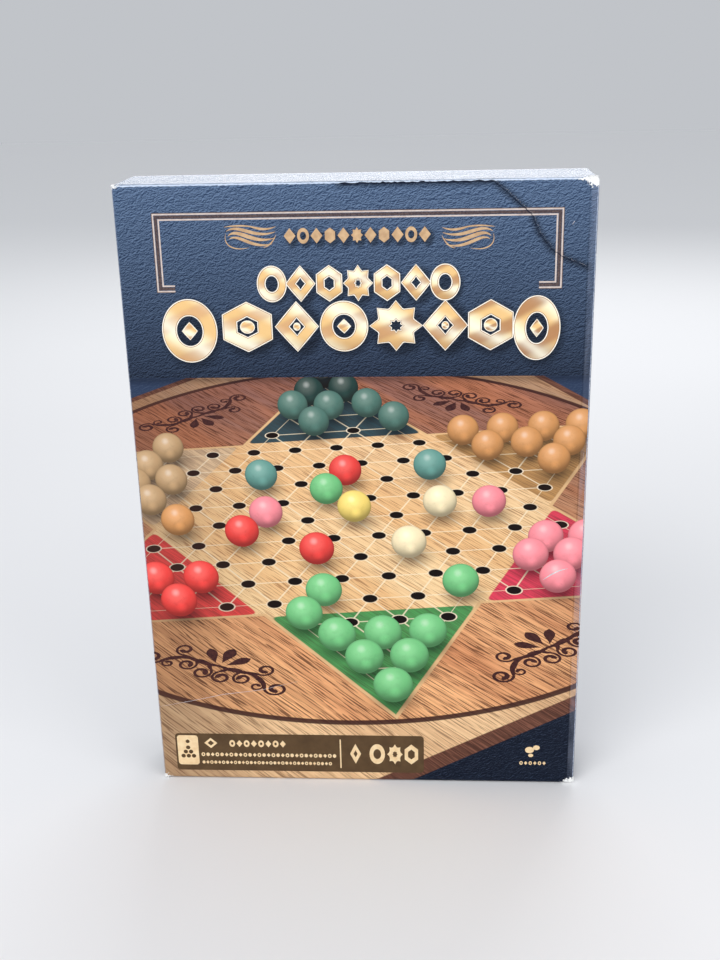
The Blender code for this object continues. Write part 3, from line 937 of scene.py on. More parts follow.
def build_gold():
    faces, edges, rims, small = bmesh.new(), bmesh.new(), bmesh.new(), bmesh.new()
    local = faces.loops.layers.uv.new("local")
    for order, shape in enumerate(gold_places()):
        kind, large = shape[4], shape[5]
        hole = SHAPES[kind][3]
        if large:
            plate(edges, shape, layer_y(5.5, order), grow=0.42 * MM, hole=hole)
            plate(rims, shape, layer_y(6.6, order), grow=0.0, hole=hole)
            plate(faces, shape, layer_y(7.7, order), grow=-0.20 * MM, hole=hole, uv=local)
            if kind in ("disc", "hexagon", "lozenge") and shape[3] > 8 * MM:
                share = hole * (0.34 if kind == "lozenge" else 0.52)
                core = (shape[0], shape[1], shape[2] * share, shape[3] * share,
                        "lozenge" if kind == "disc" else "disc")
                plate(edges, core, layer_y(5.5, order), grow=0.32 * MM)
                plate(faces, core, layer_y(7.7, order), uv=local)
        else:
            plate(small, shape, layer_y(5), hole=hole if kind == "disc" else 0.0)
    printed("gold_shapes_edges", edges, white_ink)
    printed("gold_shapes_rims", rims, bronze_ink)
    printed("gold_shapes", faces, gold_print)
    printed("small_gold_shapes", small, cream_small)


def build_bracket():
    lines, middle = bmesh.new(), bmesh.new()
    for outset, bm, width, layer in ((0.0, lines, 0.60, 4), (2.1, lines, 0.60, 4),
                                     (-0.35, middle, 0.45, 3), (1.05, middle, 1.15, 3)):
        left, right, high, low = -77.9 + outset, 80.0 - outset, 255.4 - outset, 225.4 + outset
        path = ((-71.1, low), (left, low), (left, high), (right, high), (right, low), (71.6, low))
        ribbon(bm, [(x * MM, z * MM) for x, z in path], width * MM, layer_y(layer))
    printed("bracket_lines", lines, line_ink)
    printed("bracket_middle", middle, mitre_ink)


def build_flourishes():
    """Leaf-like strokes on both sides of the small shapes; the right one mirrors the left."""
    strokes = bmesh.new()
    paths = (
        (((-9.6, 2.0), (-4.5, 5.4), (1.0, -1.5), (9.6, 1.6)), 1.3),
        (((-9.0, 0.2), (-5.0, 4.0), (0.5, -3.6), (9.0, -0.8)), 1.5),
        (((-8.6, -1.0), (-4.5, 1.6), (0.0, -5.4), (8.2, -3.0)), 1.2),
        (((-10.4, 3.6), (-7.0, 4.2), (-1.0, 4.6), (4.6, 2.6)), 0.6),
        (((-1.0, 3.9), (2.0, 3.4), (5.0, 1.6), (9.8, 3.6)), 0.9),
        (((-9.8, 1.2), (-11.4, -4.2), (-6.0, -5.6), (-1.0, -4.4)), 0.45),
        (((4.6, -4.4), (6.6, -4.2), (8.6, -2.4), (9.9, 0.6)), 0.5),
    )
    for middle_x, middle_z, side in ((-39.9, 246.6, 1), (43.9, 245.4, -1)):
        for order, (path, width) in enumerate(paths):
            spots = [((middle_x + side * x) * MM, (middle_z + z) * MM) for x, z in path]
            points = bezier(*spots)
            ribbon(strokes, points, swell(len(points), width * MM), layer_y(4, order))
    printed("flourishes", strokes, cream_small)


def scroll_strands():
    """One half of a leaf-and-scroll ornament, in hole spacings: sideways, and out."""
    arms = (
        ((0.22, 0.37), 230, 0.21, -1.25, 0.090, (0.0, 0.04), (0.26, 0.02)),
        ((0.62, 0.24), 205, 0.20, -1.20, 0.088, (0.20, 0.03), (0.52, -0.04)),
        ((0.90, -0.22), 100, 0.20, -1.20, 0.088, (0.0, 0.02), (0.36, 0.16)),
        ((1.38, 0.28), 150, 0.23, -1.30, 0.096, (0.42, 0.02), (0.98, -0.04)),
        ((0.99, 0.36), -60, 0.14, 1.15, 0.068, (0.70, 0.02), (0.86, 0.05)),
    )
    strands = []
    for centre, start, radius, turns, width, root, handle in arms:
        coil = curl(centre, start, radius, turns)
        spin = math.radians(start + (90 if turns > 0 else -90))
        lead = coil[0] - Vector((math.cos(spin), math.sin(spin))) * 0.14
        last = len(coil) - 1
        widths = [width * (0.62 + 0.9 * (place / last) ** 3) for place in range(last)]
        strands.append((coil, widths + [width * 0.5]))
        stem = bezier(root, handle, lead, coil[0])
        last = len(stem) - 1
        strands.append((stem, [width * (0.62 + 0.5 * math.sin(math.pi * (1 - place / last)))
                               for place in range(last + 1)]))
    for start, end, width in (((0.12, -0.05), (0.46, -0.46), 0.22),
                              ((0.0, -0.10), (0.0, -0.64), 0.25)):
        start, end = Vector(start), Vector(end)
        strands.append(([start.lerp(end, t / 9) for t in range(10)],
                        [width * (0.05 + math.sin(math.pi * (t / 9) ** 1.6) ** 0.8)
                         for t in range(10)]))
    return strands


def draw_scrolls(bm, turns, level, lift, place):
    """The ornaments at those angles round the star; place turns (u, v) into panel x and z."""
    strands = scroll_strands()
    for turn in turns:
        outward = Vector((math.cos(math.radians(turn)), math.sin(math.radians(turn))))
        along = Vector((-outward.y, outward.x))
        for side in (1, -1):
            def project(spot, side=side, outward=outward, along=along):
                return place(outward * (6.5 + spot[1]) + along * (side * spot[0]))
            for order, (points, widths) in enumerate(strands if side > 0 else strands[:-1]):
                y = level + lift * (order + (0.5 if side > 0 else 0.0))
                ribbon(bm, points, widths, y, project)


def build_scrolls():
    """The pictured board's ornaments."""
    def place(spot):
        x, z, _ = to_panel((spot.x, spot.y, 0.0))
        x = max(-HALF + 0.3 * MM, min(HALF - 0.3 * MM, x))
        return float(x), float(min(z, BAND_LOW))

    strokes = bmesh.new()
    draw_scrolls(strokes, (60, 120, 240, 300), layer_y(0.3), -0.1 * LAYER, place)
    bmesh.ops.dissolve_degenerate(strokes, edges=strokes.edges, dist=0.001 * MM)
    printed("scroll_ornaments", strokes, dark_ink)


def build_printed_balls():
    balls = bmesh.new()
    local = balls.loops.layers.uv.new("local")
    tint = balls.verts.layers.float_color.new("tint")
    places = sorted(BALL_PLACES, key=lambda item: (-item[0], item[1]))
    limit = HALF - 0.7 * MM
    steps = 48
    for order, (row, across, colour) in enumerate(places):
        x, z, radius = ball_place(row, across)
        y = layer_y(2) - 0.0006 * MM * order
        far = max(0.0, min(1.0, (z - 0.09) / 0.10))
        rgb = [part * (1 - 0.12 * far) for part in linear(*BALL_TINTS[colour])[:3]]
        spots = [(x, z)]
        for step in range(steps):
            angle = math.tau * step / steps
            spots.append((x + radius * math.cos(angle), z + radius * math.sin(angle)))
        made = []
        for spot_x, spot_z in spots:
            spot_x, spot_z = max(-limit, min(limit, spot_x)), min(BAND_LOW, spot_z)
            vert = balls.verts.new((spot_x, y, spot_z))
            vert[tint] = (*rgb, 1.0)
            made.append(vert)
        faces = [balls.faces.new((made[0], made[step], made[step % steps + 1]))
                 for step in range(1, steps + 1)]
        map_faces(faces, local, x, z, radius, radius)
    printed("pictured_balls", balls, ball_print_finish())


def rounded_plate(bm, left, right, low, high, radius, y):
    """A flat rounded rectangle, in millimetres."""
    corners = []
    for x, z, start in ((right - radius, high - radius, 0), (left + radius, high - radius, 90),
                        (left + radius, low + radius, 180), (right - radius, low + radius, 270)):
        for step in range(7):
            angle = math.radians(start + 15 * step)
            corners.append(bm.verts.new(((x + radius * math.cos(angle)) * MM, y,
                                         (z + radius * math.sin(angle)) * MM)))
    bm.faces.new(corners)


def build_label():
    """The bar at the foot, with generic marks where the box has words."""
    bar, marks, cuts = bmesh.new(), bmesh.new(), bmesh.new()
    rounded_plate(bar, -86.8, 26.0, 4.6, 23.8, 1.6, layer_y(9))
    rounded_plate(marks, -86.0, -76.4, 7.4, 22.8, 1.4, layer_y(10))
    rounded_plate(marks, -11.9, -11.3, 6.6, 21.6, 0.2, layer_y(10))

    def mark(bm, x, z, width, height, kind, layer, hole=0.0):
        plate(bm, (x * MM, z * MM, width / 2 * MM, height / 2 * MM, kind), layer_y(layer),
              hole=hole, steps=24)

    for x, z in ((-83.6, 12.0), (-81.2, 12.0), (-78.8, 12.0), (-82.4, 14.2), (-80.0, 14.2),
                 (-81.2, 16.4)):
        mark(cuts, x, z, 2.0, 2.0, "disc", 11)
    mark(cuts, -81.2, 19.6, 2.2, 2.2, "star", 11)
    mark(marks, -70.6, 18.9, 6.0, 5.4, "lozenge", 10, 0.5)
    for place in range(8):
        kind = ("disc", "lozenge")[place % 2]
        mark(marks, -60.8 + 3.3 * place, 18.8, 2.7, 3.6, kind, 10, 0.4 if place % 2 == 0 else 0)
    for level, start, end, tall in ((12.9, -74.4, -14.4, 2.2), (8.8, -74.4, -16.4, 1.9)):
        count = int((end - start) / (tall * 0.92))
        for place in range(count):
            kind = ("disc", "lozenge", "hexagon")[(place * 5 + int(level)) % 3]
            hole = 0.42 if kind == "disc" else 0.0
            mark(marks, start + (end - start) * place / (count - 1), level, tall * 0.80,
                 tall * 0.94, kind, 10, hole)
    mark(marks, -4.8, 14.2, 5.0, 10.4, "lozenge", 10, 0.36)
    for x, kind, hole in ((5.0, "disc", 0.5), (13.0, "star", 0.34), (20.4, "hexagon", 0.5)):
        mark(marks, x, 14.2, 7.0, 10.4, kind, 10, hole)
    for x, z, width in ((73.2, 17.4, 4.0), (76.2, 18.6, 3.0), (73.8, 14.6, 2.2)):
        mark(marks, x, z, width, width * 0.8, "disc", 10, 0.0)
    for place in range(6):
        mark(marks, 69.6 + 2.05 * place, 10.6, 1.5, 1.9, ("disc", "lozenge")[place % 2], 10,
             0.45 if place % 2 == 0 else 0.0)
    printed("label_bar", bar, brown_ink)
    printed("label_marks", marks, cream_ink)
    printed("label_small_marks", cuts, brown_ink)


def build_wear():
    """The crease as a painted shade line with a faint painted highlight beside it, some scratches,
    and the white paper core that shows at the corners.
    """
    crease_shade_lines, scratches_and_crease_highlight = bmesh.new(), bmesh.new()
    rng = random.Random(12)
    points = [(x * MM, z * MM) for x, z in CREASE]
    jagged = []
    for start, end in zip(points, points[1:]):
        start, end = Vector(start), Vector(end)
        count = max(2, int((end - start).length / (1.1 * MM)))
        side = Vector((start.y - end.y, end.x - start.x)).normalized()
        jagged += [start.lerp(end, place / count) + side * rng.uniform(-0.22, 0.22) * MM
                   for place in range(count)]
    thin_from = 53  # the crease's painted shade line is wide along the top edge and thin on the leather below it
    widths = [rng.uniform(0.30, 0.95) * (0.9 * MM if place < thin_from else 0.40 * MM)
              for place in range(len(jagged))]
    # The crease, drawn as a dark painted shade line
    ribbon(crease_shade_lines, jagged, widths, layer_y(12))
    # A faint painted highlight on the crease's lit side, drawn with the scratches
    crease_highlight = [spot + Vector((0.55, 0.36)) * MM for spot in jagged[thin_from - 1:]]
    ribbon(scratches_and_crease_highlight, crease_highlight, [rng.uniform(0.0, 0.03) * MM for _ in crease_highlight], layer_y(12))
    scrapes = (
        (((76.8, 101.0), (80.0, 103.3), (83.4, 105.2), (87.0, 106.2)), 0.60),
        (((-92.6, 37.6), (-78.0, 40.6), (-63.3, 44.1), (-46.0, 46.6), (-29.1, 51.1)), 0.16),
        (((83.6, 249.4), (84.4, 250.6)), 0.5),
        (((91.0, 150.0), (91.6, 158.0)), 0.2),
    )
    for path, width in scrapes:
        points = [(x * MM, z * MM) for x, z in path]
        ribbon(scratches_and_crease_highlight, points, swell(len(points), width * MM, 0.25), layer_y(12))
    printed("crease_shade_lines", crease_shade_lines, crease_shade_ink)
    printed("scratches_and_crease_highlight", scratches_and_crease_highlight, scratch_and_highlight_ink)

    lumps = bmesh.new()
    corners = ((1, 1, 3.9), (-1, 1, 1.3), (-1, -1, 1.9), (1, -1, 2.5))
    for side_x, side_z, reach in corners:
        for _ in range(5):
            size_now = reach * rng.uniform(0.35, 0.62) * MM
            spot = Vector((side_x * (LID_HALF_X - reach * rng.uniform(0.2, 0.9) * MM),
                           LID_FRONT + rng.uniform(0.3, 1.2) * reach * MM,
                           (LID_TOP if side_z > 0 else 0.0)
                           - side_z * reach * rng.uniform(0.15, 0.6) * MM))
            turn = Matrix.Rotation(rng.uniform(0, 3), 4, Vector((rng.random(), rng.random(), 1)))
            flat = Matrix.Diagonal((1.0, 0.55, 0.8, 1.0))
            made = bmesh.ops.create_icosphere(lumps, subdivisions=3, radius=size_now,
                                              matrix=Matrix.Translation(spot) @ turn @ flat)
            for vert in made["verts"]:
                push = shape_noise.noise(vert.co * 1400.0) * 0.30 * size_now
                vert.co += (vert.co - spot).normalized() * push
                vert.co.x = max(-LID_HALF_X, min(LID_HALF_X, vert.co.x))
                vert.co.y = max(LID_FRONT, vert.co.y)
                vert.co.z = max(0.0, min(LID_TOP, vert.co.z))
    on_lid(finish_mesh("worn_corners", lumps, worn_core, smooth=True))

    fibres = bmesh.new()
    for place in range(46):
        side = 1 if place % 3 else -1
        z = rng.uniform(0.004 if place % 2 else 0.17, 0.262)
        x = side * (HALF - rng.uniform(0.0, 0.25) * MM)
        length = rng.uniform(0.3, 1.5) * MM
        start = Vector((x, FRONT + 0.30 * MM, z))
        lean = Vector((side * rng.uniform(-0.3, 0.1), rng.uniform(-0.05, 0.5), rng.uniform(-1, 1)))
        end = start + lean.normalized() * length
        end.x = max(-LID_HALF_X, min(LID_HALF_X, end.x))
        end.y = max(LID_FRONT + 0.02 * MM, end.y)
        width = Vector((0.0, 0.0, 0.07 * MM)) if abs(lean.z) < 0.6 else Vector((0.07 * MM, 0, 0))
        fibres.faces.new([fibres.verts.new(p) for p in (start - width, end, start + width)])
    on_lid(finish_mesh("worn_edge_fibres", fibres, worn_core))


bronze_ink = ink_finish("bronze_ink", (150, 104, 66), (176, 126, 82))
cream_small = ink_finish("small_gold_ink", (214, 180, 140), (188, 152, 116))
build_gold()
build_bracket()
build_flourishes()
build_scrolls()
build_printed_balls()
build_label()
build_wear()


# ---- chipboard, wraps and pads
def carry(finish, *kept):
    """These CAD nodes keep their shape and take this finish."""
    for node in kept:
        mesh = nodes[node].data
        mesh.materials.clear()
        mesh.materials.append(finish.material)


def chipboard_finish():
    made = Finish("grey_chipboard", roughness=0.9, specular=0.2)
    spot = made.place()
    x, y, z = split(spot)
    pulp = cloud(spot, scale=240.0, detail=4.0, roughness=0.6)
    fleck = cloud((x * 900.0, y * 900.0, z * 420.0), detail=2.0)
    made.colour(coats(
        mix((176, 168, 154), (150, 141, 128), pulp.gate(0.5, 0.4)),
        ((104, 98, 92), fleck.gate(0.66, 0.08) * 0.6),
        ((206, 200, 190), (1.0 - fleck).gate(0.68, 0.08) * 0.6)))
    made.bump(pulp + fleck * 0.4, 0.08 * MM, 0.5)
    return made


def base_wrap_finish():
    """Plain navy leather paper, rubbed pale along its edges."""
    made = Finish("plain_base_paper", roughness=0.46, specular=0.30)
    spot = made.place()
    x, y, z = split(spot)
    low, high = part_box("base_wrap")
    navy, tone = leather(x + y * 0.9, z + y * 0.4, 0.35)
    to_side = size(high.x - size(x))
    to_end = size((high.z - low.z) / 2 - size(z - (high.z + low.z) / 2))
    to_back = size(high.y - y)
    ragged = cloud(spot, scale=700.0, detail=3.0, roughness=0.65)
    rub = 0.0006 - most(least(to_side, to_end), least(to_back, most(to_side, to_end)))
    edge = (0.00045 - most(to_back, least(to_side, to_end))) * 3500.0 + (ragged - 0.55) * 4.0
    core = rub * 2500.0 + (ragged - 0.6) * 3.0
    made.colour(coats(
        navy,
        ((150, 160, 184), edge.gate(0.2, 1.0) * 0.55),
        ((200, 202, 206), core.gate(0.8, 0.8) * 0.5)))
    made.set("Roughness", 0.44 + (ragged - 0.5) * 0.15)
    made.bump(tone * 0.15 + cloud(spot, scale=60.0) * 0.3, 0.3 * MM, 0.5)
    return made


def kraft_finish():
    """Layers of brown corrugated board: flutes show on the edges, faint ribs on the faces."""
    made = Finish("corrugated_board", roughness=0.9, specular=0.15)
    spot = made.place()
    x, y, z = split(spot)
    fibre = cloud((x * 90.0, y * 600.0, z * 500.0), detail=3.0)
    flute, layer = 7.8 * MM, 4.1 * MM
    ribs = ripple(z * (math.tau / flute))
    layers = ripple(y * (math.tau / layer) + maths("SINE", z * (math.tau / flute)) * 2.2)
    made.colour(coats(
        mix((190, 148, 104), (164, 122, 82), fibre.gate(0.5, 0.5)),
        ((128, 90, 58), ribs.gate(0.8, 0.4) * 0.20),
        ((112, 78, 50), layers.gate(0.8, 0.3) * 0.25)))
    made.bump(ribs * 0.6 + fibre * 0.3, 0.25 * MM, 0.6)
    return made


def white_card_finish():
    """Coated white card with grey cut edges and a slight waviness."""
    made = Finish("white_card", roughness=0.55, specular=0.35)
    spot = made.place()
    _, y, _ = split(spot)
    pulp = cloud(spot, scale=500.0, detail=3.0)
    stain = cloud(spot, scale=22.0, detail=2.0)
    low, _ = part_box("ball_tray")
    rim = (low.y + 0.0005 - y).step(0.0003)
    made.colour(coats(
        mix((240, 238, 232), (226, 222, 212), pulp.gate(0.5, 0.5)),
        ((214, 208, 196), stain.gate(0.6, 0.3) * 0.5),
        ((170, 164, 152), rim * 0.7)))
    made.bump(pulp * 0.3 + stain, 0.15 * MM, 0.35)
    return made


carry(chipboard_finish(), "lid_board", "base_board")
carry(base_wrap_finish(), "base_wrap")
carry(kraft_finish(), "pad_board", "pad_balls")
carry(white_card_finish(), "ball_tray", *(f"ball_tray_divider_{number}" for number in range(1, 6)))


# ---- the folding board
leaf_low, leaf_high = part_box("board_leaf_rear")
_, front_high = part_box("board_leaf_front")
MIDDLE_Z = (leaf_low.z + leaf_high.z) / 2
pin_low, pin_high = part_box("hinge_low_pin")
FOLD_X = pin_low.x / 2 + pin_high.x / 2
HOLE_PITCH = 14.5 * MM


def leaf_finish(name, face_y, side):
    """Star face on the playing side, plain oak elsewhere; side mirrors the front half."""
    made = Finish(name, roughness=0.34, specular=0.45)
    x, y, z = split(made.place())
    u = (x - FOLD_X) * (side / HOLE_PITCH)
    v = (z - MIDDLE_Z) * (1 / HOLE_PITCH)
    face, relief = paint_board(u, v, 0.15)
    band, fibre, pore = grain(u + y * 60.0, v, GRAIN_TURN)
    plain = coats(
        mix((214, 178, 128), (186, 142, 94), band.gate(0.5, 0.4)),
        ((150, 108, 66), fibre.gate(0.5, 0.4) * 0.5),
        ((112, 76, 46), pore.gate(0.6, 0.1) * 0.6))
    depth = size(y - face_y)
    colour = mix(face, plain, depth.gate(0.00012, 0.00004))
    star = star_pattern(u, v)
    bore = (0.36 - star["hole"]).gate(0.18, 0.02) * star["inside"].gate(-0.3, 0.02)
    bore = bore * depth.gate(0.0005, 0.0004)
    colour = mix(colour, (122, 82, 52), bore * (0.0036 - depth).step(0.0002))
    made.colour(colour)
    made.set("Roughness", 0.32 + fibre * 0.16)
    made.set("Coat Weight", 0.25)
    made.set("Coat Roughness", 0.22)
    made.bump(relief, 0.06 * MM, 0.5)
    return made


carry(leaf_finish("board_face_rear", leaf_low.y, 1), "board_leaf_rear")
carry(leaf_finish("board_face_front", front_high.y, -1), "board_leaf_front")


def build_leaf_scrolls(name, body, turns, side, face_y, lift):
    """The ornaments printed on the real board's ring, on one leaf."""
    def to_leaf(spot):
        return FOLD_X + side * spot.x * HOLE_PITCH, MIDDLE_Z + spot.y * HOLE_PITCH

    strokes = bmesh.new()
    draw_scrolls(strokes, turns, face_y + lift * 20, lift, to_leaf)
    made = finish_mesh(name, strokes, dark_ink, facing=math.copysign(1, lift))
    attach(made, body)


INK_LIFT = 0.001 * MM
build_leaf_scrolls("rear_leaf_scrolls", "board", (0, 60, 300), 1, leaf_low.y, -INK_LIFT)
build_leaf_scrolls("front_leaf_scrolls", "board_flap", (120, 180, 240), -1, front_high.y,
                   INK_LIFT)


# ---- brass hinges and screws
def brass_finish():
    made = Finish("brass", roughness=0.28, metallic=1.0)
    spot = made.place()
    x, y, z = split(spot)
    brushed = cloud((x * 900.0, y * 900.0, z * 90.0), detail=3.0)
    dull = cloud(spot, scale=180.0, detail=3.0)
    colour = mix((226, 186, 104), (190, 146, 74), brushed.gate(0.5, 0.6))
    made.colour(mix(colour, (150, 108, 58), dull.gate(0.64, 0.2) * 0.6))
    made.set("Roughness", 0.22 + brushed * 0.22)
    made.bump(brushed, 0.02 * MM, 0.4)
    return made


brass = brass_finish()
for label in ("low", "high"):
    carry(brass, *(f"hinge_{label}_{part}" for part in ("plate_rear", "plate_front", "pin")))


def build_screw(node, body):
    """A countersunk screw with a cross recess and a thread, in its CAD node's place."""
    low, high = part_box(node)
    centre = Vector((low.x, (low.y + high.y) / 2, (low.z + high.z) / 2))
    head, length = (high.z - low.z) / 2, high.x - low.x
    profile = [(0.0, 0.35), (0.18, 0.32), (0.30, 0.0), (0.92, 0.0), (1.0, 0.05)]
    profile = [(head * r, head * d) for r, d in profile]
    profile.append((0.00066, 0.0008))
    turns = 9
    for place in range(turns * 2):
        radius = 0.00074 if place % 2 else 0.00054
        depth = 0.0011 + (length - 0.0023) * place / (turns * 2)
        profile.append((radius * (1 - 0.25 * (place / (turns * 2)) ** 3), depth))
    profile.append((0.0, length))
    bm = bmesh.new()
    rings = []
    sides = 20
    for radius, depth in profile:
        ring = []
        for step in range(sides):
            angle = math.tau * step / sides
            in_recess = 0.0 < radius < head * 0.5 and 0 < depth < head
            reach = radius * (0.45 if in_recess and step % 5 else 1.0)
            ring.append(bm.verts.new((centre.x + depth, centre.y + reach * math.cos(angle),
                                      centre.z + reach * math.sin(angle))))
        rings.append(ring)
    for first, second in zip(rings, rings[1:]):
        bridge(bm, first, second, closed=True)
    bmesh.ops.remove_doubles(bm, verts=bm.verts, dist=0.000001)
    bmesh.ops.recalc_face_normals(bm, faces=bm.faces)
    screw = finish_mesh(node.replace("screw", "cross_screw"), bm, brass, smooth=True)
    screw.data.set_sharp_from_angle(angle=math.radians(40))
    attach(screw, body)
    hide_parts(node)


for label in ("low", "high"):
    for side, body in (("rear", "board"), ("front", "board_flap")):
        for number in (1, 2):
            build_screw(f"screw_{label}_{side}_{number}", body)


# ---- playing balls
BALL_RADIUS = 5.5 * MM
BALL_PITCH = 11.3 * MM
BALL_ROWS = (4, 3, 3)
BALL_LOOKS = {
    "green": ((38, 150, 74), (24, 112, 54)), "red": ((206, 34, 40), (160, 22, 30)),
    "yellow": ((246, 186, 52), (226, 150, 36)), "white": ((248, 234, 202), (232, 212, 170)),
    "teal": ((40, 118, 120), (22, 86, 92)), "pink": ((240, 112, 140), (220, 82, 116)),
}


def ball_finish(name, light, deep):
    """Painted wood: a glossy coat with faint grain and a few dull spots."""
    made = Finish(name, roughness=0.22, specular=0.5)
    spot = made.place()
    x, y, z = split(spot)
    grain_lines = cloud((x * 260.0, y * 900.0, z * 900.0), detail=2.0)
    patch = cloud(spot, scale=160.0, detail=2.0)
    colour = mix(light, deep, patch.gate(0.55, 0.4))
    made.colour(mix(colour, deep, grain_lines.gate(0.6, 0.2) * 0.35))
    made.set("Roughness", 0.18 + patch * 0.16)
    made.set("Coat Weight", 0.4)
    made.set("Coat Roughness", 0.08)
    made.bump(grain_lines, 0.03 * MM, 0.35)
    return made


def build_balls(number, colour):
    """Ten separate smooth balls in the places of their joined CAD solid."""
    node = "balls_" + colour
    low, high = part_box(node)
    finish = ball_finish("painted_ball_" + colour, *BALL_LOOKS[colour])
    first_x = low.x + BALL_RADIUS
    bm = bmesh.new()
    for row, count in enumerate(BALL_ROWS):
        shift = number % 2 if row == 2 else 0.5 * (row % 2)
        for column in range(count):
            centre = Vector((first_x + (column + shift) * BALL_PITCH, (low.y + high.y) / 2,
                             low.z + BALL_RADIUS + row * BALL_PITCH * ROW))
            turn = Matrix.Rotation(0.7 * (column + 3 * row + number), 4, Vector((1, 2, 1)))
            bmesh.ops.create_icosphere(bm, subdivisions=4, radius=BALL_RADIUS - 0.02 * MM,
                                       matrix=Matrix.Translation(centre) @ turn)
    for vert in bm.verts:
        vert.co += vert.normal * shape_noise.noise(vert.co * 220.0) * 0.02 * MM
    balls = finish_mesh("ten_balls_" + colour, bm, finish, smooth=True)
    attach(balls, node)
    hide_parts(node)


for number, colour in enumerate(BALL_LOOKS):
    build_balls(number, colour)


# ---- leaflet
def leaflet_finish():
    """Printed rules sheet without words: a star of dots above broken lines."""
    made = Finish("leaflet_print", roughness=0.75, specular=0.25)
    pitch, line_gap = 5.2 * MM, 4.2 * MM  # between the star's dots, and between ruled lines
    x, _, z = split(made.place())
    u, v = x * (1 / pitch), (z - 0.150) * (1 / pitch)
    star = star_pattern(u, v)
    pulp = cloud(made.place(), scale=500.0, detail=3.0)
    paper = mix((244, 242, 234), (232, 229, 219), pulp.gate(0.5, 0.5))
    inside = star["inside"].gate(-0.3, 0.02)
    dots = (0.30 - star["hole"]).step(0.05) * inside
    lines = (0.03 - star["line"]).step(0.02) * star["inside"].step(0.02)
    colour = mix(paper, (120, 128, 150), lines * 0.8)
    for key, sign, rgb in TIPS.values():
        here = (star[key] * sign - 4.5).step(0.02)
        colour = mix(colour, rgb, dots * here)
    centre = (4.5 - most(most(size(star["row"]), size(star["second"])), size(star["third"])))
    colour = mix(colour, (70, 78, 104), dots * centre.step(0.02))
    stroke = size(to_whole(z * (1 / line_gap)))
    block = (0.062 - size(x)).step(0.0004) * (0.094 - z).step(0.0004)
    block = block * (z - 0.020).step(0.0004)
    worded = cloud((x * 420.0, maths("FLOOR", z * (1 / line_gap)), 0.0), detail=0.0)
    colour = mix(colour, (92, 96, 108),
                 block * (0.13 - stroke).step(0.06) * worded.gate(0.40, 0.1) * 0.7)
    made.colour(colour)
    made.bump(pulp, 0.03 * MM, 0.3)
    return made


def build_leaflet():
    """A sheet folded twice, like a letter, and a little sprung, in its CAD node's space."""
    low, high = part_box("rules_leaflet")
    bm = bmesh.new()
    wide, tall = 28, 44
    sheets = []
    for layer in range(3):
        grid = []
        for row in range(tall + 1):
            line = []
            for column in range(wide + 1):
                s, t = column / wide, row / tall
                wave = 0.5 + 0.5 * math.sin(5.0 * s + 2.2 * t + layer * 1.3) * (0.35 + 0.65 * t)
                y = low.y + (high.y - low.y) * (0.06 + 0.30 * layer + 0.24 * wave)
                line.append(bm.verts.new((low.x + (high.x - low.x) * s, y,
                                          low.z + (high.z - low.z) * t)))
            grid.append(line)
        for first, second in zip(grid, grid[1:]):
            bridge(bm, first, second)
        sheets.append(grid)
    bridge(bm, sheets[0][0], sheets[1][0])
    bridge(bm, sheets[1][tall], sheets[2][tall])
    bmesh.ops.recalc_face_normals(bm, faces=bm.faces)
    leaflet = finish_mesh("folded_leaflet", bm, leaflet_finish(), smooth=True)
    leaflet.data.set_sharp_from_angle(angle=math.radians(60))
    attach(leaflet, "leaflet")
    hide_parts("rules_leaflet")


build_leaflet()


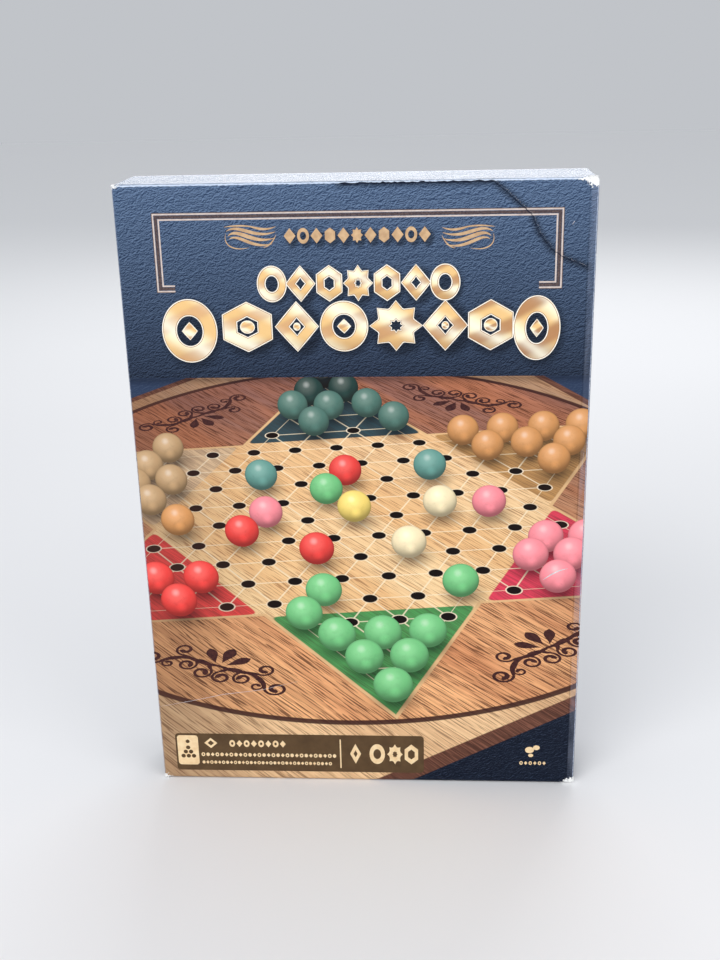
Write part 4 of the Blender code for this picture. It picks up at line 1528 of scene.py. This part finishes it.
# ---- stage, light and camera
def build_stage():
    floor = bpy.data.meshes.new("floor")
    floor.from_pydata([(-4, -4, 0), (4, -4, 0), (4, 4, 0), (-4, 4, 0)], [], [(0, 1, 2, 3)])
    made = link("floor", floor)
    finish = Finish("pale_floor", roughness=0.7, specular=0.2)
    x, y, _ = split(finish.place())
    tone = cloud((x * 3.0, y * 3.0, 0.0), detail=1.0)
    near = mix((0.80, 0.80, 0.81, 1.0), (0.84, 0.84, 0.85, 1.0), tone)
    out = root(x * x + y * y)
    finish.colour(mix(near, (0.99, 0.99, 0.99, 1.0), out.gate(1.1, 1.8)))
    floor.materials.append(finish.material)

    world = bpy.data.worlds.new("studio")
    scene.world = world
    world.use_nodes = True
    sky = world.node_tree.nodes["Background"]
    sky.inputs["Color"].default_value = (0.86, 0.89, 0.94, 1.0)
    sky.inputs["Strength"].default_value = 0.62


def area_light(name, place, aim, width, height, energy):
    lamp = bpy.data.lights.new(name, "AREA")
    lamp.shape = "RECTANGLE"
    lamp.size, lamp.size_y, lamp.energy = width, height, energy
    made = bpy.data.objects.new(name, lamp)
    made.location = place
    made.rotation_euler = (Vector(aim) - Vector(place)).to_track_quat("-Z", "Y").to_euler()
    scene.collection.objects.link(made)
    return made


def build_camera():
    place = Vector((0.032, -0.485, 0.316))
    pitch, yaw, roll = math.radians(20.0), math.radians(-3.9), math.radians(-1.4)
    ahead = Vector((math.sin(yaw) * math.cos(pitch), math.cos(yaw) * math.cos(pitch),
                    -math.sin(pitch)))
    right = Vector((math.cos(yaw), -math.sin(yaw), 0.0))
    up = right.cross(ahead)
    across = right * math.cos(roll) + up * math.sin(roll)
    above = up * math.cos(roll) - right * math.sin(roll)
    lens = bpy.data.cameras.new("camera")
    lens.lens, lens.sensor_width, lens.clip_start = 45.0, 36.0, 0.01
    made = bpy.data.objects.new("camera", lens)
    turn = Matrix((across, above, -ahead)).transposed()
    made.matrix_world = Matrix.Translation(place) @ turn.to_4x4()
    scene.collection.objects.link(made)
    scene.camera = made


build_stage()
area_light("key", (-0.55, -1.05, 1.10), (0.0, 0.0, 0.12), 0.9, 0.9, 11.0)
area_light("fill", (0.95, -0.75, 0.70), (0.0, 0.0, 0.12), 0.8, 0.8, 4.0)
area_light("rear", (0.15, 1.10, 0.95), (0.0, 0.0, 0.20), 0.9, 0.6, 6.0)
# Glare on the lid's top, as in the photo: it reaches the lid's paper only
glare = area_light("glare", (-0.05, 1.60, 0.47), (0.0, 0.0, 0.26), 1.4, 0.34, 3.4)
glare.visible_camera = False
paper = bpy.data.collections.new("paper_in_glare")
for sheet_piece in (lid_print, lid_walls):
    paper.objects.link(sheet_piece)
glare.light_linking.receiver_collection = paper
build_camera()
